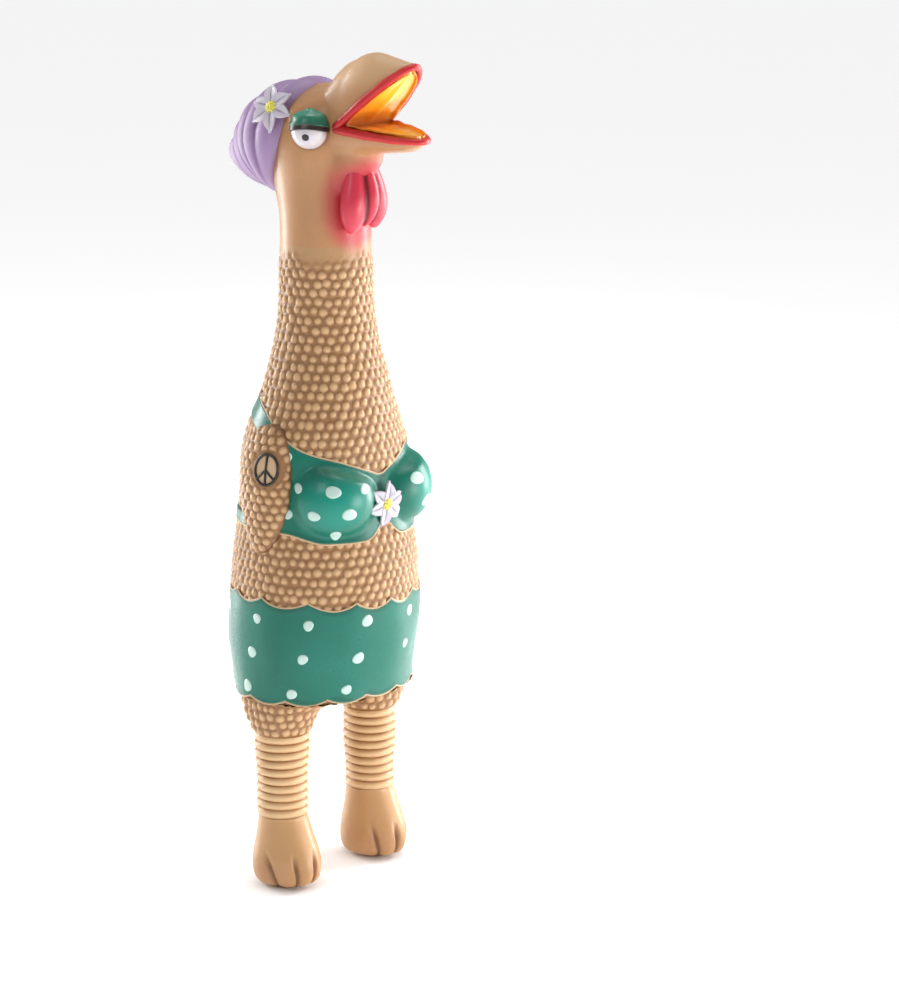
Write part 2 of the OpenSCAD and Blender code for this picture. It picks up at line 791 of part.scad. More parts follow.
// A ring with one upright and two slanting spokes
module badge_lines() {
  difference() {
    circle(d = badge_d, $fn = 40);
    circle(d = badge_d - 2 * line_w, $fn = 40);
  }
  intersection() {
    circle(d = badge_d, $fn = 40);
    union() {
      translate([-line_w / 2, -badge_d / 2]) square([line_w, badge_d]);
      for (side = [-1, 1])
        rotate(side * 45) translate([-line_w / 2, -badge_d / 2]) square([line_w, badge_d / 2]);
    }
  }
}

module arm_badge() {
  color(line_brown)
    as_one_mesh() intersection() {
      difference() {
        wing_form(0.7);
        wing_form(seat_gap);
      }
      translate([0, fwd(wing_f + 2), wing_level + wing_h * 0.16])
        rotate([90, 0, -90])
          linear_extrude(far) badge_lines();
    }
}

// ---- Squawker ----
bore_d = barrel_d - 2 * barrel_wall;
collar_len = 12;
plug_len = 8;
seat_w = reed_w + 2;
seat_h = 3.5;
seat_len = 22;
reed_free = 18; // length of the reed that is free to beat
reed_root = 2; // length of the reed inside the wedge's slot
reed_room = 0.35; // clearance above and below the reed in the slot
wedge_face = plug_len - barrel_len; // level of the wedge's face along the squawker's axis
vents = 6;

module squawker_collar() {
  color(skin_tan)
    at_squawker() translate([0, 0, -collar_len])
      difference() {
        cylinder(h = collar_len, d = collar_d, $fn = round_fn);
        translate([0, 0, -eps]) cylinder(h = collar_len + 2 * eps, d = barrel_d + 2 * seat_gap, $fn = round_fn);
      }
}

module squawker_barrel() {
  color(squawker_grey)
    at_squawker()
      difference() {
        union() {
          translate([0, 0, -barrel_len]) cylinder(h = barrel_len + plate_t, d = barrel_d, $fn = round_fn);
          translate([0, 0, seat_gap]) cylinder(h = plate_t - seat_gap, d = collar_d, $fn = round_fn);
        }
        translate([0, 0, -barrel_len - eps])
          cylinder(h = barrel_len + plate_t + 2 * eps, d = bore_d, $fn = round_fn);
      }
}

module squawker_grille() {
  color(squawker_grey)
    at_squawker()
      difference() {
        cylinder(h = plate_t, d = bore_d - 2 * seat_gap, $fn = round_fn);
        for (i = [0:vents - 1])
          rotate([0, 0, 360 * i / vents])
            translate([bore_d * 0.28, 0, -eps])
              cylinder(h = plate_t + 2 * eps, d = bore_d * 0.14, $fn = 32);
      }
}

module squawker_reed_seat() {
  color(squawker_grey)
    at_squawker() translate([0, 0, -barrel_len])
      difference() {
        translate([-seat_w / 2, -seat_h, 0]) cube([seat_w, seat_h, plug_len + seat_len]);
        translate([-reed_w / 4, -seat_h * 0.6, plug_len]) cube([reed_w / 2, seat_h, seat_len - 2]);
      }
}

module squawker_reed() {
  color(reed_brass)
    at_squawker() translate([0, reed_room, wedge_face])
      rotate([-reed_lift, 0, 0])
        translate([-reed_w / 2, 0, -reed_root]) cube([reed_w, reed_t, reed_root + reed_free]);
}

module squawker_wedge() {
  slot_h = reed_t + 2 * reed_room;
  color(squawker_grey)
    at_squawker() translate([0, 0, -barrel_len])
      difference() {
        cylinder(h = plug_len, d = bore_d - 2 * seat_gap, $fn = round_fn);
        translate([-seat_w / 2 - seat_gap, -seat_h - seat_gap, -eps])
          cube([seat_w + 2 * seat_gap, seat_h + seat_gap, plug_len + 2 * eps]);
        translate([-reed_w / 2 - reed_room, -eps, plug_len - reed_root - 1])
          cube([reed_w + 2 * reed_room, slot_h + eps, reed_root + 1 + eps]);
      }
}

torso_skin();
hip_skin();
neck_base_skin();
neck_skin();
throat_skin();
head_skin();
upper_beak();
lower_beak();
upper_lip();
lower_lip();
mouth_lining();
wattle();
other_side() eyeball();  // eyeball_right
eyeball();  // eyeball_left
other_side() pupil();  // pupil_right
pupil();  // pupil_left
other_side() eyelid();  // eyelid_right
eyelid();  // eyelid_left
turban_cap();
turban_rolls();
turban_petals();
turban_flower_heart();
bikini_top();
bikini_petals();
bikini_flower_heart();
swim_shorts();
wing();  // wing_right
other_side() wing();  // wing_left
arm_badge();
other_side() shank();  // shank_right
shank();  // shank_left
other_side() foot();  // foot_right
foot();  // foot_left
squawker_collar();
squawker_barrel();
squawker_grille();
squawker_reed_seat();
squawker_reed();
squawker_wedge();
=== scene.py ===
import bmesh
import bpy
import math
import numpy as np
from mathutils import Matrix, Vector


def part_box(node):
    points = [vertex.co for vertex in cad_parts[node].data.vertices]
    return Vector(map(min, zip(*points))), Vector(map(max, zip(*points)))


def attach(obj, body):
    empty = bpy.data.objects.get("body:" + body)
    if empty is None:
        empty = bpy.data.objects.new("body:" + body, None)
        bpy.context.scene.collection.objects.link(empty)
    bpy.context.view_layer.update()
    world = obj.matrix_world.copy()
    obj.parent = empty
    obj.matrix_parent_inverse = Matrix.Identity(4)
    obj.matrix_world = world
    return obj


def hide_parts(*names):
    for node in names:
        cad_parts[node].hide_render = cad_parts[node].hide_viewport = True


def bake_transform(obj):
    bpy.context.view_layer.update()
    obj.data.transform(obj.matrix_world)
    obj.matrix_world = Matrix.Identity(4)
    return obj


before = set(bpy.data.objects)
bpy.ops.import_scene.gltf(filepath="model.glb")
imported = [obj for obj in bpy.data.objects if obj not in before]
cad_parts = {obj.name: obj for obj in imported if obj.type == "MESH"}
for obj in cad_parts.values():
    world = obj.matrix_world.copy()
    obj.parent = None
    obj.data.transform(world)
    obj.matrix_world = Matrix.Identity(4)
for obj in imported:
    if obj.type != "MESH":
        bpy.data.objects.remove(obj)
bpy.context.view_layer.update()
print("frame loaded")

# All shapes below are worked out in millimetres, in the frame's axes, and become metres in makePiece.
metre = 1000.0


def lowOf(node):
    return np.array(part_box(node)[0]) * metre


def highOf(node):
    return np.array(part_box(node)[1]) * metre


def midOf(node):
    return (lowOf(node) + highOf(node)) / 2


# Levels and widths that the frame gives
neckLength = (highOf("throat_skin")[2] - highOf("torso_skin")[2]) / 0.88
bird = {
    "ankle": highOf("foot_right")[2],
    "knee": lowOf("hip_skin")[2],
    "crotch": lowOf("torso_skin")[2],
    "shoulder": highOf("torso_skin")[2],
    "neckLow": lowOf("neck_skin")[2],
    "throatLow": highOf("neck_skin")[2],
    "throatTop": highOf("throat_skin")[2],
    "jaw": highOf("torso_skin")[2] + neckLength,
    "legX": abs(midOf("shank_right")[0]),
    "spineY": midOf("shank_right")[1],
    "half": highOf("torso_skin")[0] / 1.063,
    "neckR": highOf("throat_skin")[0],
    "neckAxis": 3.0,
}
headHeight = (lowOf("turban_cap")[2] - bird["jaw"]) / 0.12


def level(share):
    return bird["jaw"] + headHeight * share


def forward(reach):
    return bird["spineY"] - reach


# Number tools
def smoothCurve(points, t):
    # flat-ended cubic through [position, value] points
    p = np.array(points, float)
    x, v = p[:, 0], p[:, 1]
    slopes = np.zeros(len(x))
    slopes[1:-1] = (v[2:] - v[:-2]) / (x[2:] - x[:-2])
    u = np.clip(np.asarray(t, float), x[0], x[-1])
    i = np.clip(np.searchsorted(x, u, side="right") - 1, 0, len(x) - 2)
    w = x[i + 1] - x[i]
    s = (u - x[i]) / w
    return (
        (2 * s**3 - 3 * s**2 + 1) * v[i]
        + (s**3 - 2 * s**2 + s) * slopes[i] * w
        + (3 * s**2 - 2 * s**3) * v[i + 1]
        + (s**3 - s**2) * slopes[i + 1] * w
    )


def ease(x):
    x = np.clip(x, 0, 1)
    return x * x * (3 - 2 * x)


def turnsOf(count):
    # the angles of a whole turn in equal steps
    return np.arange(count) * 2 * math.pi / count


def softMax(a, b, width):
    # the larger of two heights, with the step between them rounded
    h = np.clip(0.5 + 0.5 * (a - b) / width, 0, 1)
    return b + (a - b) * h + width * h * (1 - h)


def scatter(i, j, seed):
    # a steady pseudo-random number from 0 to 1 for each pair of whole numbers
    value = np.sin(i * 12.9898 + j * 78.233 + seed * 37.719) * 43758.5453
    return value - np.floor(value)


# Mesh tools
def makePiece(name, points, faces, smooth=True):
    mesh = bpy.data.meshes.new(name)
    mesh.from_pydata((np.asarray(points, float) / metre).tolist(), [], [list(f) for f in faces])
    mesh.validate()
    mesh.update()
    piece = bpy.data.objects.new(name, mesh)
    bpy.context.scene.collection.objects.link(piece)
    if smooth:
        mesh.polygons.foreach_set("use_smooth", [True] * len(mesh.polygons))
    return piece


def gridFaces(rows, columns, closed):
    # quads of a grid of points stored row after row; closed joins the last column to the first
    i = np.arange(rows - 1)[:, None] * columns
    last = columns if closed else columns - 1
    j = np.arange(last)[None, :]
    k = (j + 1) % columns
    quads = np.stack([i + j, i + k, i + columns + k, i + columns + j], axis=-1)
    return quads.reshape(-1, 4).tolist()


def loftPiece(name, rings, capLow=True, capHigh=True):
    # rings is an array of rows x columns x 3, each row a closed ring
    rings = np.asarray(rings, float)
    rows, columns = rings.shape[:2]
    points = rings.reshape(-1, 3)
    faces = gridFaces(rows, columns, True)
    for cap, row in ((capLow, 0), (capHigh, rows - 1)):
        if cap:
            centre = len(points)
            points = np.vstack([points, rings[row].mean(axis=0)])
            for j in range(columns):
                a, b = row * columns + j, row * columns + (j + 1) % columns
                faces.append([b, a, centre] if row == 0 else [a, b, centre])
    return makePiece(name, points, faces)


def tubeRings(path, radii, sides=20, flat=1.0, up=(0, 0, 1)):
    # rings of a tube along a path; flat squeezes it along up
    path = np.asarray(path, float)
    radii = np.broadcast_to(np.asarray(radii, float), len(path))
    rings = []
    for i, centre in enumerate(path):
        ahead = path[min(i + 1, len(path) - 1)] - path[max(i - 1, 0)]
        ahead /= np.linalg.norm(ahead)
        side = np.cross(ahead, up)
        side /= np.linalg.norm(side)
        rise = np.cross(side, ahead)
        angles = turnsOf(sides)
        ring = [centre + radii[i] * (side * math.cos(a) + rise * flat * math.sin(a)) for a in angles]
        rings.append(ring)
    return np.array(rings)


def blobPiece(name, path, radii, sides=20, steps=14):
    # a tube with round ends along a short path, for forms that are joined and smoothed
    path = np.asarray(path, float)
    radii = np.asarray(radii, float)
    t = np.linspace(0, 1, len(path))
    fine = np.linspace(0, 1, steps)
    along = np.stack([np.interp(fine, t, path[:, k]) for k in range(3)], axis=-1)
    size = np.interp(fine, t, radii)
    start, end = along[0] - along[1], along[-1] - along[-2]
    start /= np.linalg.norm(start)
    end /= np.linalg.norm(end)
    bend = np.linspace(0.12, 1, 7)[:-1] * math.pi / 2
    before = [along[0] + start * size[0] * math.cos(b) for b in bend]
    after = [along[-1] + end * size[-1] * math.cos(b) for b in bend[::-1]]
    route = np.vstack([before, along, after])
    widths = np.concatenate([size[0] * np.sin(bend), size, size[-1] * np.sin(bend[::-1])])
    up = (0, 0, 1) if abs(end[2]) < 0.8 else (0, 1, 0)
    return loftPiece(name, tubeRings(route, widths, sides, up=up))


def finished(piece):
    # the mesh with its modifiers applied
    graph = bpy.context.evaluated_depsgraph_get()
    made = bpy.data.meshes.new_from_object(piece.evaluated_get(graph))
    piece.modifiers.clear()
    old = piece.data
    piece.data = made
    bpy.data.meshes.remove(old)
    piece.data.polygons.foreach_set("use_smooth", [True] * len(piece.data.polygons))
    return piece


def fused(name, parts, voxel, smoothing, factor=0.5):
    # joins overlapping closed forms into one skin, and smooths the joins
    with bpy.context.temp_override(active_object=parts[0], selected_editable_objects=parts):
        bpy.ops.object.join()
    piece = parts[0]
    piece.name = name
    remesh = piece.modifiers.new("remesh", "REMESH")
    remesh.mode = "VOXEL"
    remesh.voxel_size = voxel / metre
    relax = piece.modifiers.new("relax", "SMOOTH")
    relax.factor = factor
    relax.iterations = smoothing
    return finished(piece)


def pointsOf(piece):
    co = np.zeros(len(piece.data.vertices) * 3, np.float32)
    piece.data.vertices.foreach_get("co", co)
    return co.reshape(-1, 3).astype(float) * metre


def setPoints(piece, points):
    piece.data.vertices.foreach_set("co", (np.asarray(points) / metre).astype(np.float32).ravel())
    piece.data.update()


def mark(piece, name, values):
    # a number for each point, which a material reads
    attribute = piece.data.attributes.get(name) or piece.data.attributes.new(name, "FLOAT", "POINT")
    values = np.asarray(values, np.float32).ravel()
    full = np.zeros(len(piece.data.vertices), np.float32)
    full[: len(values)] = values
    attribute.data.foreach_set("value", full)


def place(piece, body, slot, material, replaced=()):
    piece.data.materials.clear()
    piece.data.materials.append(material)
    if body:
        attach(piece, body)
    if replaced:
        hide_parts(*replaced)
    return piece


# Material tools
def groupNode(name, inputs, outputs):
    # an empty node group with its sockets; inputs are [name, kind, default]
    group = bpy.data.node_groups.new(name, "ShaderNodeTree")
    for label, kind, default in inputs:
        socket = group.interface.new_socket(name=label, in_out="INPUT", socket_type=kind)
        socket.default_value = default
    for label, kind in outputs:
        group.interface.new_socket(name=label, in_out="OUTPUT", socket_type=kind)
    start = group.nodes.new("NodeGroupInput")
    end = group.nodes.new("NodeGroupOutput")
    return group, start, end


def addNode(tree, kind, values=None, **settings):
    node = tree.nodes.new(kind)
    for key, value in settings.items():
        setattr(node, key, value)
    for key, value in (values or {}).items():
        if isinstance(value, bpy.types.NodeSocket):
            tree.links.new(value, node.inputs[key])
        else:
            node.inputs[key].default_value = value
    return node


def mixColours(tree, mask, first, second, blend="MIX"):
    node = tree.nodes.new("ShaderNodeMix")
    node.data_type = "RGBA"
    node.blend_type = blend
    for key, value in ((0, mask), (6, first), (7, second)):
        if isinstance(value, bpy.types.NodeSocket):
            tree.links.new(value, node.inputs[key])
        else:
            node.inputs[key].default_value = value
    return node.outputs[2]


def mathNode(tree, operation, first, second=0.0, clamp=False):
    node = tree.nodes.new("ShaderNodeMath")
    node.operation = operation
    node.use_clamp = clamp
    for key, value in ((0, first), (1, second)):
        if isinstance(value, bpy.types.NodeSocket):
            tree.links.new(value, node.inputs[key])
        else:
            node.inputs[key].default_value = value
    return node.outputs[0]


def noiseNode(tree, scale, detail=3.0, roughness=0.5):
    place = addNode(tree, "ShaderNodeTexCoord")
    values = {"Vector": place.outputs["Object"], "Scale": scale, "Detail": detail, "Roughness": roughness}
    return addNode(tree, "ShaderNodeTexNoise", values).outputs["Fac"]


def spread(tree, value, low, high):
    # maps low..high to 0..1
    node = addNode(tree, "ShaderNodeMapRange", {"From Min": low, "From Max": high})
    tree.links.new(value, node.inputs["Value"])
    return node.outputs["Result"]


# Slow and fine changes of tone, as in hand-sprayed latex
mottle, mottleIn, mottleOut = groupNode(
    "mottle",
    [["Colour", "NodeSocketColor", (1, 1, 1, 1)], ["Amount", "NodeSocketFloat", 0.15]],
    [["Colour", "NodeSocketColor"], ["Mask", "NodeSocketFloat"]],
)
slowTone = spread(mottle, noiseNode(mottle, 38.0, 3.0), 0.36, 0.64)
fineTone = spread(mottle, noiseNode(mottle, 420.0, 4.0, 0.6), 0.35, 0.65)
slowShare = mathNode(mottle, "MULTIPLY", slowTone, 0.65)
toneMask = mathNode(mottle, "ADD", slowShare, mathNode(mottle, "MULTIPLY", fineTone, 0.35))
toneDrop = mathNode(mottle, "MULTIPLY", toneMask, mottleIn.outputs["Amount"])
darker = mixColours(mottle, 1.0, mottleIn.outputs["Colour"], (0.62, 0.5, 0.42, 1), "MULTIPLY")
mottle.links.new(mixColours(mottle, toneDrop, mottleIn.outputs["Colour"], darker), mottleOut.inputs["Colour"])
mottle.links.new(toneMask, mottleOut.inputs["Mask"])

# Painted highlight on the tops and bulges and painted shade in the hollows, as each mesh's marks say
relief, reliefIn, reliefOut = groupNode(
    "relief",
    [
        ["Colour", "NodeSocketColor", (1, 1, 1, 1)],
        ["PaintedHighlight", "NodeSocketColor", (1, 1, 1, 1)],
        ["PaintedShade", "NodeSocketColor", (0, 0, 0, 1)],
    ],
    [["Colour", "NodeSocketColor"], ["Mask", "NodeSocketFloat"]],
)
painted_highlight = addNode(relief, "ShaderNodeAttribute", attribute_name="painted_highlight").outputs["Fac"]
painted_shade = addNode(relief, "ShaderNodeAttribute", attribute_name="painted_shade").outputs["Fac"]
highlighted = mixColours(relief, spread(relief, painted_highlight, 0.1, 0.95), reliefIn.outputs["Colour"], reliefIn.outputs["PaintedHighlight"])
relief.links.new(mixColours(relief, painted_shade, highlighted, reliefIn.outputs["PaintedShade"]), reliefOut.inputs["Colour"])
relief.links.new(painted_highlight, reliefOut.inputs["Mask"])

# A second paint sprayed over the first, where the mesh says
blush, blushIn, blushOut = groupNode(
    "blush",
    [["Colour", "NodeSocketColor", (1, 1, 1, 1)], ["Paint", "NodeSocketColor", (0.6, 0.03, 0.05, 1)]],
    [["Colour", "NodeSocketColor"], ["Mask", "NodeSocketFloat"]],
)
sprayed = addNode(blush, "ShaderNodeAttribute", attribute_name="blush").outputs["Fac"]
speckle = mathNode(blush, "MULTIPLY", noiseNode(blush, 900.0, 2.0), 0.22)
sprayMask = mathNode(blush, "MULTIPLY", sprayed, mathNode(blush, "ADD", speckle, 0.86), True)
painted = mixColours(blush, sprayMask, blushIn.outputs["Colour"], blushIn.outputs["Paint"])
blush.links.new(painted, blushOut.inputs["Colour"])
blush.links.new(sprayMask, blushOut.inputs["Mask"])

# The fine orange-peel of a dipped and painted skin
peel, peelIn, peelOut = groupNode(
    "peel",
    [["Scale", "NodeSocketFloat", 700.0], ["Depth", "NodeSocketFloat", 0.25]],
    [["Normal", "NodeSocketVector"], ["Mask", "NodeSocketFloat"]],
)
peelPlace = addNode(peel, "ShaderNodeTexCoord")
peelNoise = addNode(peel, "ShaderNodeTexNoise", {"Vector": peelPlace.outputs["Object"], "Detail": 4.0})
peel.links.new(peelIn.outputs["Scale"], peelNoise.inputs["Scale"])
peelBump = addNode(peel, "ShaderNodeBump", {"Height": peelNoise.outputs["Fac"], "Distance": 0.0004})
peel.links.new(peelIn.outputs["Depth"], peelBump.inputs["Strength"])
peel.links.new(peelBump.outputs["Normal"], peelOut.inputs["Normal"])
peel.links.new(peelNoise.outputs["Fac"], peelOut.inputs["Mask"])

# Rubbed paint on sharp edges and a little dust on what faces up
wear, wearIn, wearOut = groupNode(
    "wear",
    [["Edge", "NodeSocketFloat", 0.5], ["Dust", "NodeSocketFloat", 0.1]],
    [["Edge", "NodeSocketFloat"], ["Dust", "NodeSocketFloat"]],
)
wearShape = addNode(wear, "ShaderNodeNewGeometry")
sharpness = spread(wear, wearShape.outputs["Pointiness"], 0.52, 0.6)
edgeBreak = spread(wear, noiseNode(wear, 260.0, 4.0, 0.65), 0.42, 0.62)
edgeMask = mathNode(wear, "MULTIPLY", mathNode(wear, "MULTIPLY", sharpness, edgeBreak), wearIn.outputs["Edge"], True)
facing = addNode(wear, "ShaderNodeSeparateXYZ", {"Vector": wearShape.outputs["Normal"]})
dustBreak = spread(wear, noiseNode(wear, 150.0, 5.0, 0.7), 0.45, 0.7)
dustUp = mathNode(wear, "MULTIPLY", spread(wear, facing.outputs["Z"], 0.2, 1.0), dustBreak)
wear.links.new(edgeMask, wearOut.inputs["Edge"])
wear.links.new(mathNode(wear, "MULTIPLY", dustUp, wearIn.outputs["Dust"], True), wearOut.inputs["Dust"])


def skinMaterial(name, looks):
    # looks: colour, high (the painted highlight colour), low (the painted shade colour), gloss, and the optional
    # paint, mottle, edge, dust, depth, scale, soft and coat
    made = bpy.data.materials.new(name)
    made.use_nodes = True
    tree = made.node_tree
    shader = tree.nodes["Principled BSDF"]

    def rgba(key, other):
        return (*looks.get(key, looks[other]), 1)

    def group(kind, values):
        node = addNode(tree, "ShaderNodeGroup", node_tree=kind)
        for key, value in values.items():
            if isinstance(value, bpy.types.NodeSocket):
                tree.links.new(value, node.inputs[key])
            else:
                node.inputs[key].default_value = value
        return node

    tone = group(mottle, {"Colour": rgba("colour", "colour"), "Amount": looks.get("mottle", 0.25)})
    tones = {"Colour": tone.outputs["Colour"], "PaintedHighlight": rgba("high", "colour"), "PaintedShade": rgba("low", "colour")}
    # painted highlight and painted shade, from the marks on the mesh
    shape = group(relief, tones)
    spray = group(blush, {"Colour": shape.outputs["Colour"], "Paint": rgba("paint", "colour")})
    worn = group(wear, {"Edge": looks.get("edge", 0.3), "Dust": looks.get("dust", 0.06)})
    bare = mixColours(tree, worn.outputs["Edge"], spray.outputs["Colour"], rgba("bare", "colour"))
    dusty = mixColours(tree, worn.outputs["Dust"], bare, (0.62, 0.58, 0.52, 1))
    tree.links.new(dusty, shader.inputs["Base Color"])
    grain = group(peel, {"Scale": looks.get("scale", 700.0), "Depth": looks.get("depth", 0.22)})
    tree.links.new(grain.outputs["Normal"], shader.inputs["Normal"])
    gloss = mathNode(tree, "MULTIPLY", tone.outputs["Mask"], 0.16)
    rough = mathNode(tree, "ADD", gloss, looks["gloss"])
    matte = mathNode(tree, "MULTIPLY", worn.outputs["Dust"], 0.3)
    tree.links.new(mathNode(tree, "ADD", rough, matte, True), shader.inputs["Roughness"])
    shader.inputs["Subsurface Weight"].default_value = looks.get("soft", 0.12)
    shader.inputs["Subsurface Radius"].default_value = (1.0, 0.5, 0.3)
    shader.inputs["Subsurface Scale"].default_value = 0.002
    shader.inputs["Coat Weight"].default_value = looks.get("coat", 0.12)
    shader.inputs["Coat Roughness"].default_value = 0.25
    shader.inputs["Specular IOR Level"].default_value = looks.get("shine", 0.4)
    shader.inputs["Metallic"].default_value = looks.get("metal", 0.0)
    return made


# in each material below, high is the painted highlight colour and low the painted shade colour
studdedLatex = skinMaterial("studdedLatex", {
    "colour": (0.33, 0.165, 0.062), "high": (0.6, 0.375, 0.19), "low": (0.15, 0.06, 0.02), "gloss": 0.38,
    "paint": (0.5, 0.035, 0.045), "mottle": 0.3, "edge": 0.15, "soft": 0.15, "coat": 0.15,
})
smoothLatex = skinMaterial("smoothLatex", {
    "colour": (0.47, 0.24, 0.105), "high": (0.66, 0.43, 0.235), "low": (0.2, 0.07, 0.028), "gloss": 0.36,
    "paint": (0.5, 0.03, 0.045), "mottle": 0.22, "edge": 0.1, "soft": 0.2, "coat": 0.2, "depth": 0.12,
})
ribbedLatex = skinMaterial("ribbedLatex", {
    "colour": (0.6, 0.365, 0.175), "high": (0.7, 0.47, 0.25), "low": (0.3, 0.11, 0.032), "gloss": 0.38,
    "mottle": 0.28, "edge": 0.1, "soft": 0.18, "coat": 0.15,
})
footLatex = skinMaterial("footLatex", {
    "colour": (0.49, 0.26, 0.11), "high": (0.6, 0.36, 0.165), "low": (0.16, 0.055, 0.018), "gloss": 0.36,
    "mottle": 0.3, "edge": 0.15, "soft": 0.15, "coat": 0.2, "depth": 0.14,
})
tealPaint = skinMaterial("tealPaint", {
    "colour": (0.003, 0.165, 0.115), "high": (0.008, 0.25, 0.185), "low": (0.001, 0.06, 0.04), "gloss": 0.25,
    "bare": (0.4, 0.3, 0.16), "mottle": 0.35, "edge": 0.2, "soft": 0.0, "coat": 0.1, "shine": 0.34, "depth": 0.12,
})
lilacPaint = skinMaterial("lilacPaint", {
    "colour": (0.24, 0.14, 0.3), "high": (0.36, 0.25, 0.43), "low": (0.06, 0.025, 0.085), "gloss": 0.44,
    "mottle": 0.3, "edge": 0.2, "soft": 0.08, "coat": 0.04, "depth": 0.16,
})
redPaint = skinMaterial("redPaint", {
    "colour": (0.5, 0.008, 0.012), "high": (0.6, 0.02, 0.024), "low": (0.18, 0.003, 0.006), "gloss": 0.34,
    "bare": (0.5, 0.2, 0.12), "mottle": 0.25, "edge": 0.2, "soft": 0.0, "coat": 0.14, "depth": 0.12,
})
wattlePaint = skinMaterial("wattlePaint", {
    "colour": (0.43, 0.006, 0.028), "high": (0.6, 0.04, 0.07), "low": (0.16, 0.002, 0.01), "gloss": 0.34,
    "mottle": 0.25, "edge": 0.2, "soft": 0.05, "coat": 0.12, "depth": 0.14,
})
orangePaint = skinMaterial("orangePaint", {
    "colour": (0.83, 0.3, 0.012), "high": (0.92, 0.52, 0.03), "low": (0.45, 0.1, 0.006), "gloss": 0.3,
    "mottle": 0.25, "edge": 0.0, "soft": 0.1, "coat": 0.3, "depth": 0.14,
})
whitePaint = skinMaterial("whitePaint", {
    "colour": (0.6, 0.56, 0.58), "high": (0.7, 0.67, 0.69), "low": (0.36, 0.27, 0.32), "gloss": 0.28,
    "paint": (0.62, 0.18, 0.16), "mottle": 0.12, "edge": 0.0, "soft": 0.1, "coat": 0.4, "depth": 0.08,
})
petalPaint = skinMaterial("petalPaint", {
    "colour": (0.62, 0.58, 0.67), "high": (0.76, 0.74, 0.8), "low": (0.26, 0.21, 0.3), "gloss": 0.4,
    "mottle": 0.2, "edge": 0.0, "soft": 0.15, "coat": 0.15, "depth": 0.15,
})
dotPaint = skinMaterial("dotPaint", {
    "colour": (0.5, 0.68, 0.62), "high": (0.62, 0.78, 0.73), "low": (0.32, 0.5, 0.45), "gloss": 0.32,
    "mottle": 0.15, "edge": 0.0, "soft": 0.0, "coat": 0.4, "depth": 0.1,
})
yellowPaint = skinMaterial("yellowPaint", {
    "colour": (0.78, 0.7, 0.06), "high": (0.85, 0.8, 0.16), "low": (0.42, 0.33, 0.02), "gloss": 0.36,
    "mottle": 0.25, "edge": 0.0, "soft": 0.1, "coat": 0.15,
})
darkPaint = skinMaterial("darkPaint", {
    "colour": (0.02, 0.011, 0.008), "high": (0.05, 0.03, 0.02), "low": (0.006, 0.004, 0.003), "gloss": 0.32,
    "mottle": 0.3, "edge": 0.15, "soft": 0.0, "coat": 0.3,
})
greenPaint = skinMaterial("greenPaint", {
    "colour": (0.012, 0.19, 0.11), "high": (0.05, 0.33, 0.22), "low": (0.004, 0.07, 0.045), "gloss": 0.3,
    "mottle": 0.4, "edge": 0.2, "soft": 0.05, "coat": 0.35,
})
palePatch = skinMaterial("palePatch", {
    "colour": (0.62, 0.43, 0.26), "high": (0.7, 0.52, 0.34), "low": (0.3, 0.15, 0.07), "gloss": 0.38,
    "mottle": 0.25, "soft": 0.12, "coat": 0.1,
})
squawkerWhite = skinMaterial("squawkerWhite", {
    "colour": (0.7, 0.69, 0.64), "high": (0.8, 0.79, 0.76), "low": (0.3, 0.28, 0.24), "gloss": 0.32,
    "mottle": 0.2, "edge": 0.2, "dust": 0.2, "soft": 0.1, "coat": 0.1, "depth": 0.1,
})
squawkerInside = skinMaterial("squawkerInside", {
    "colour": (0.42, 0.41, 0.37), "high": (0.52, 0.5, 0.46), "low": (0.15, 0.14, 0.12), "gloss": 0.4,
    "mottle": 0.3, "edge": 0.2, "dust": 0.3, "soft": 0.1, "coat": 0.0,
})
brass = skinMaterial("brass", {
    "colour": (0.72, 0.5, 0.2), "high": (0.8, 0.6, 0.3), "low": (0.3, 0.17, 0.05), "gloss": 0.22,
    "mottle": 0.5, "edge": 0.0, "soft": 0.0, "coat": 0.0, "metal": 1.0, "depth": 0.1,
})
print("materials made")


# The trunk's form
trunk = {
    "side": [[0, 1.06], [0.15, 1.06], [0.4, 1.02], [0.62, 0.95], [0.78, 0.93], [0.86, 0.87], [1, 0.7]],
    "front": [[0, 0.82], [0.2, 0.95], [0.4, 0.98], [0.6, 0.86], [0.75, 0.78], [0.86, 0.73], [1, 0.66]],
    "back": [[0, 0.9], [0.2, 1.06], [0.4, 1.03], [0.62, 0.95], [0.78, 0.92], [0.88, 0.82], [1, 0.66]],
    "neckFade": 0.62,
    "softening": 9,
    "columns": 384,
}
torsoLength = bird["shoulder"] - bird["crotch"]
trunkLevels = np.arange(bird["crotch"] - 12, bird["jaw"] + 12, 0.5)


def rawReach(z, shares):
    share = (z - bird["crotch"]) / torsoLength
    below = bird["half"] * smoothCurve(shares, share)
    top = bird["half"] * shares[-1][1]
    over = np.maximum(0, 1 - (z - bird["shoulder"]) / (trunk["neckFade"] * neckLength))
    return np.where(z <= bird["shoulder"], below, bird["neckR"] + (top - bird["neckR"]) * over**2)


def softened(values):
    width = trunk["softening"]
    weights = np.exp(-np.linspace(-2, 2, 4 * width + 1) ** 2)
    padded = np.pad(values, 2 * width, mode="edge")
    return np.convolve(padded, weights / weights.sum(), mode="valid")


reachOf = {key: softened(rawReach(trunkLevels, trunk[key])) for key in ("side", "front", "back")}


def trunkAxis(z):
    return bird["spineY"] - bird["neckAxis"] * ease((z - bird["crotch"]) / torsoLength)


def trunkPoint(z, turn, out=0.0):
    # turn is the angle from the front, towards the bird's left
    z, turn = np.broadcast_arrays(np.asarray(z, float), np.asarray(turn, float))
    side = np.interp(z, trunkLevels, reachOf["side"])
    front = np.interp(z, trunkLevels, reachOf["front"])
    back = np.interp(z, trunkLevels, reachOf["back"])
    deep = np.where(np.cos(turn) > 0, front, back)
    return np.stack([(side + out) * np.sin(turn), trunkAxis(z) - (deep + out) * np.cos(turn), z], axis=-1)


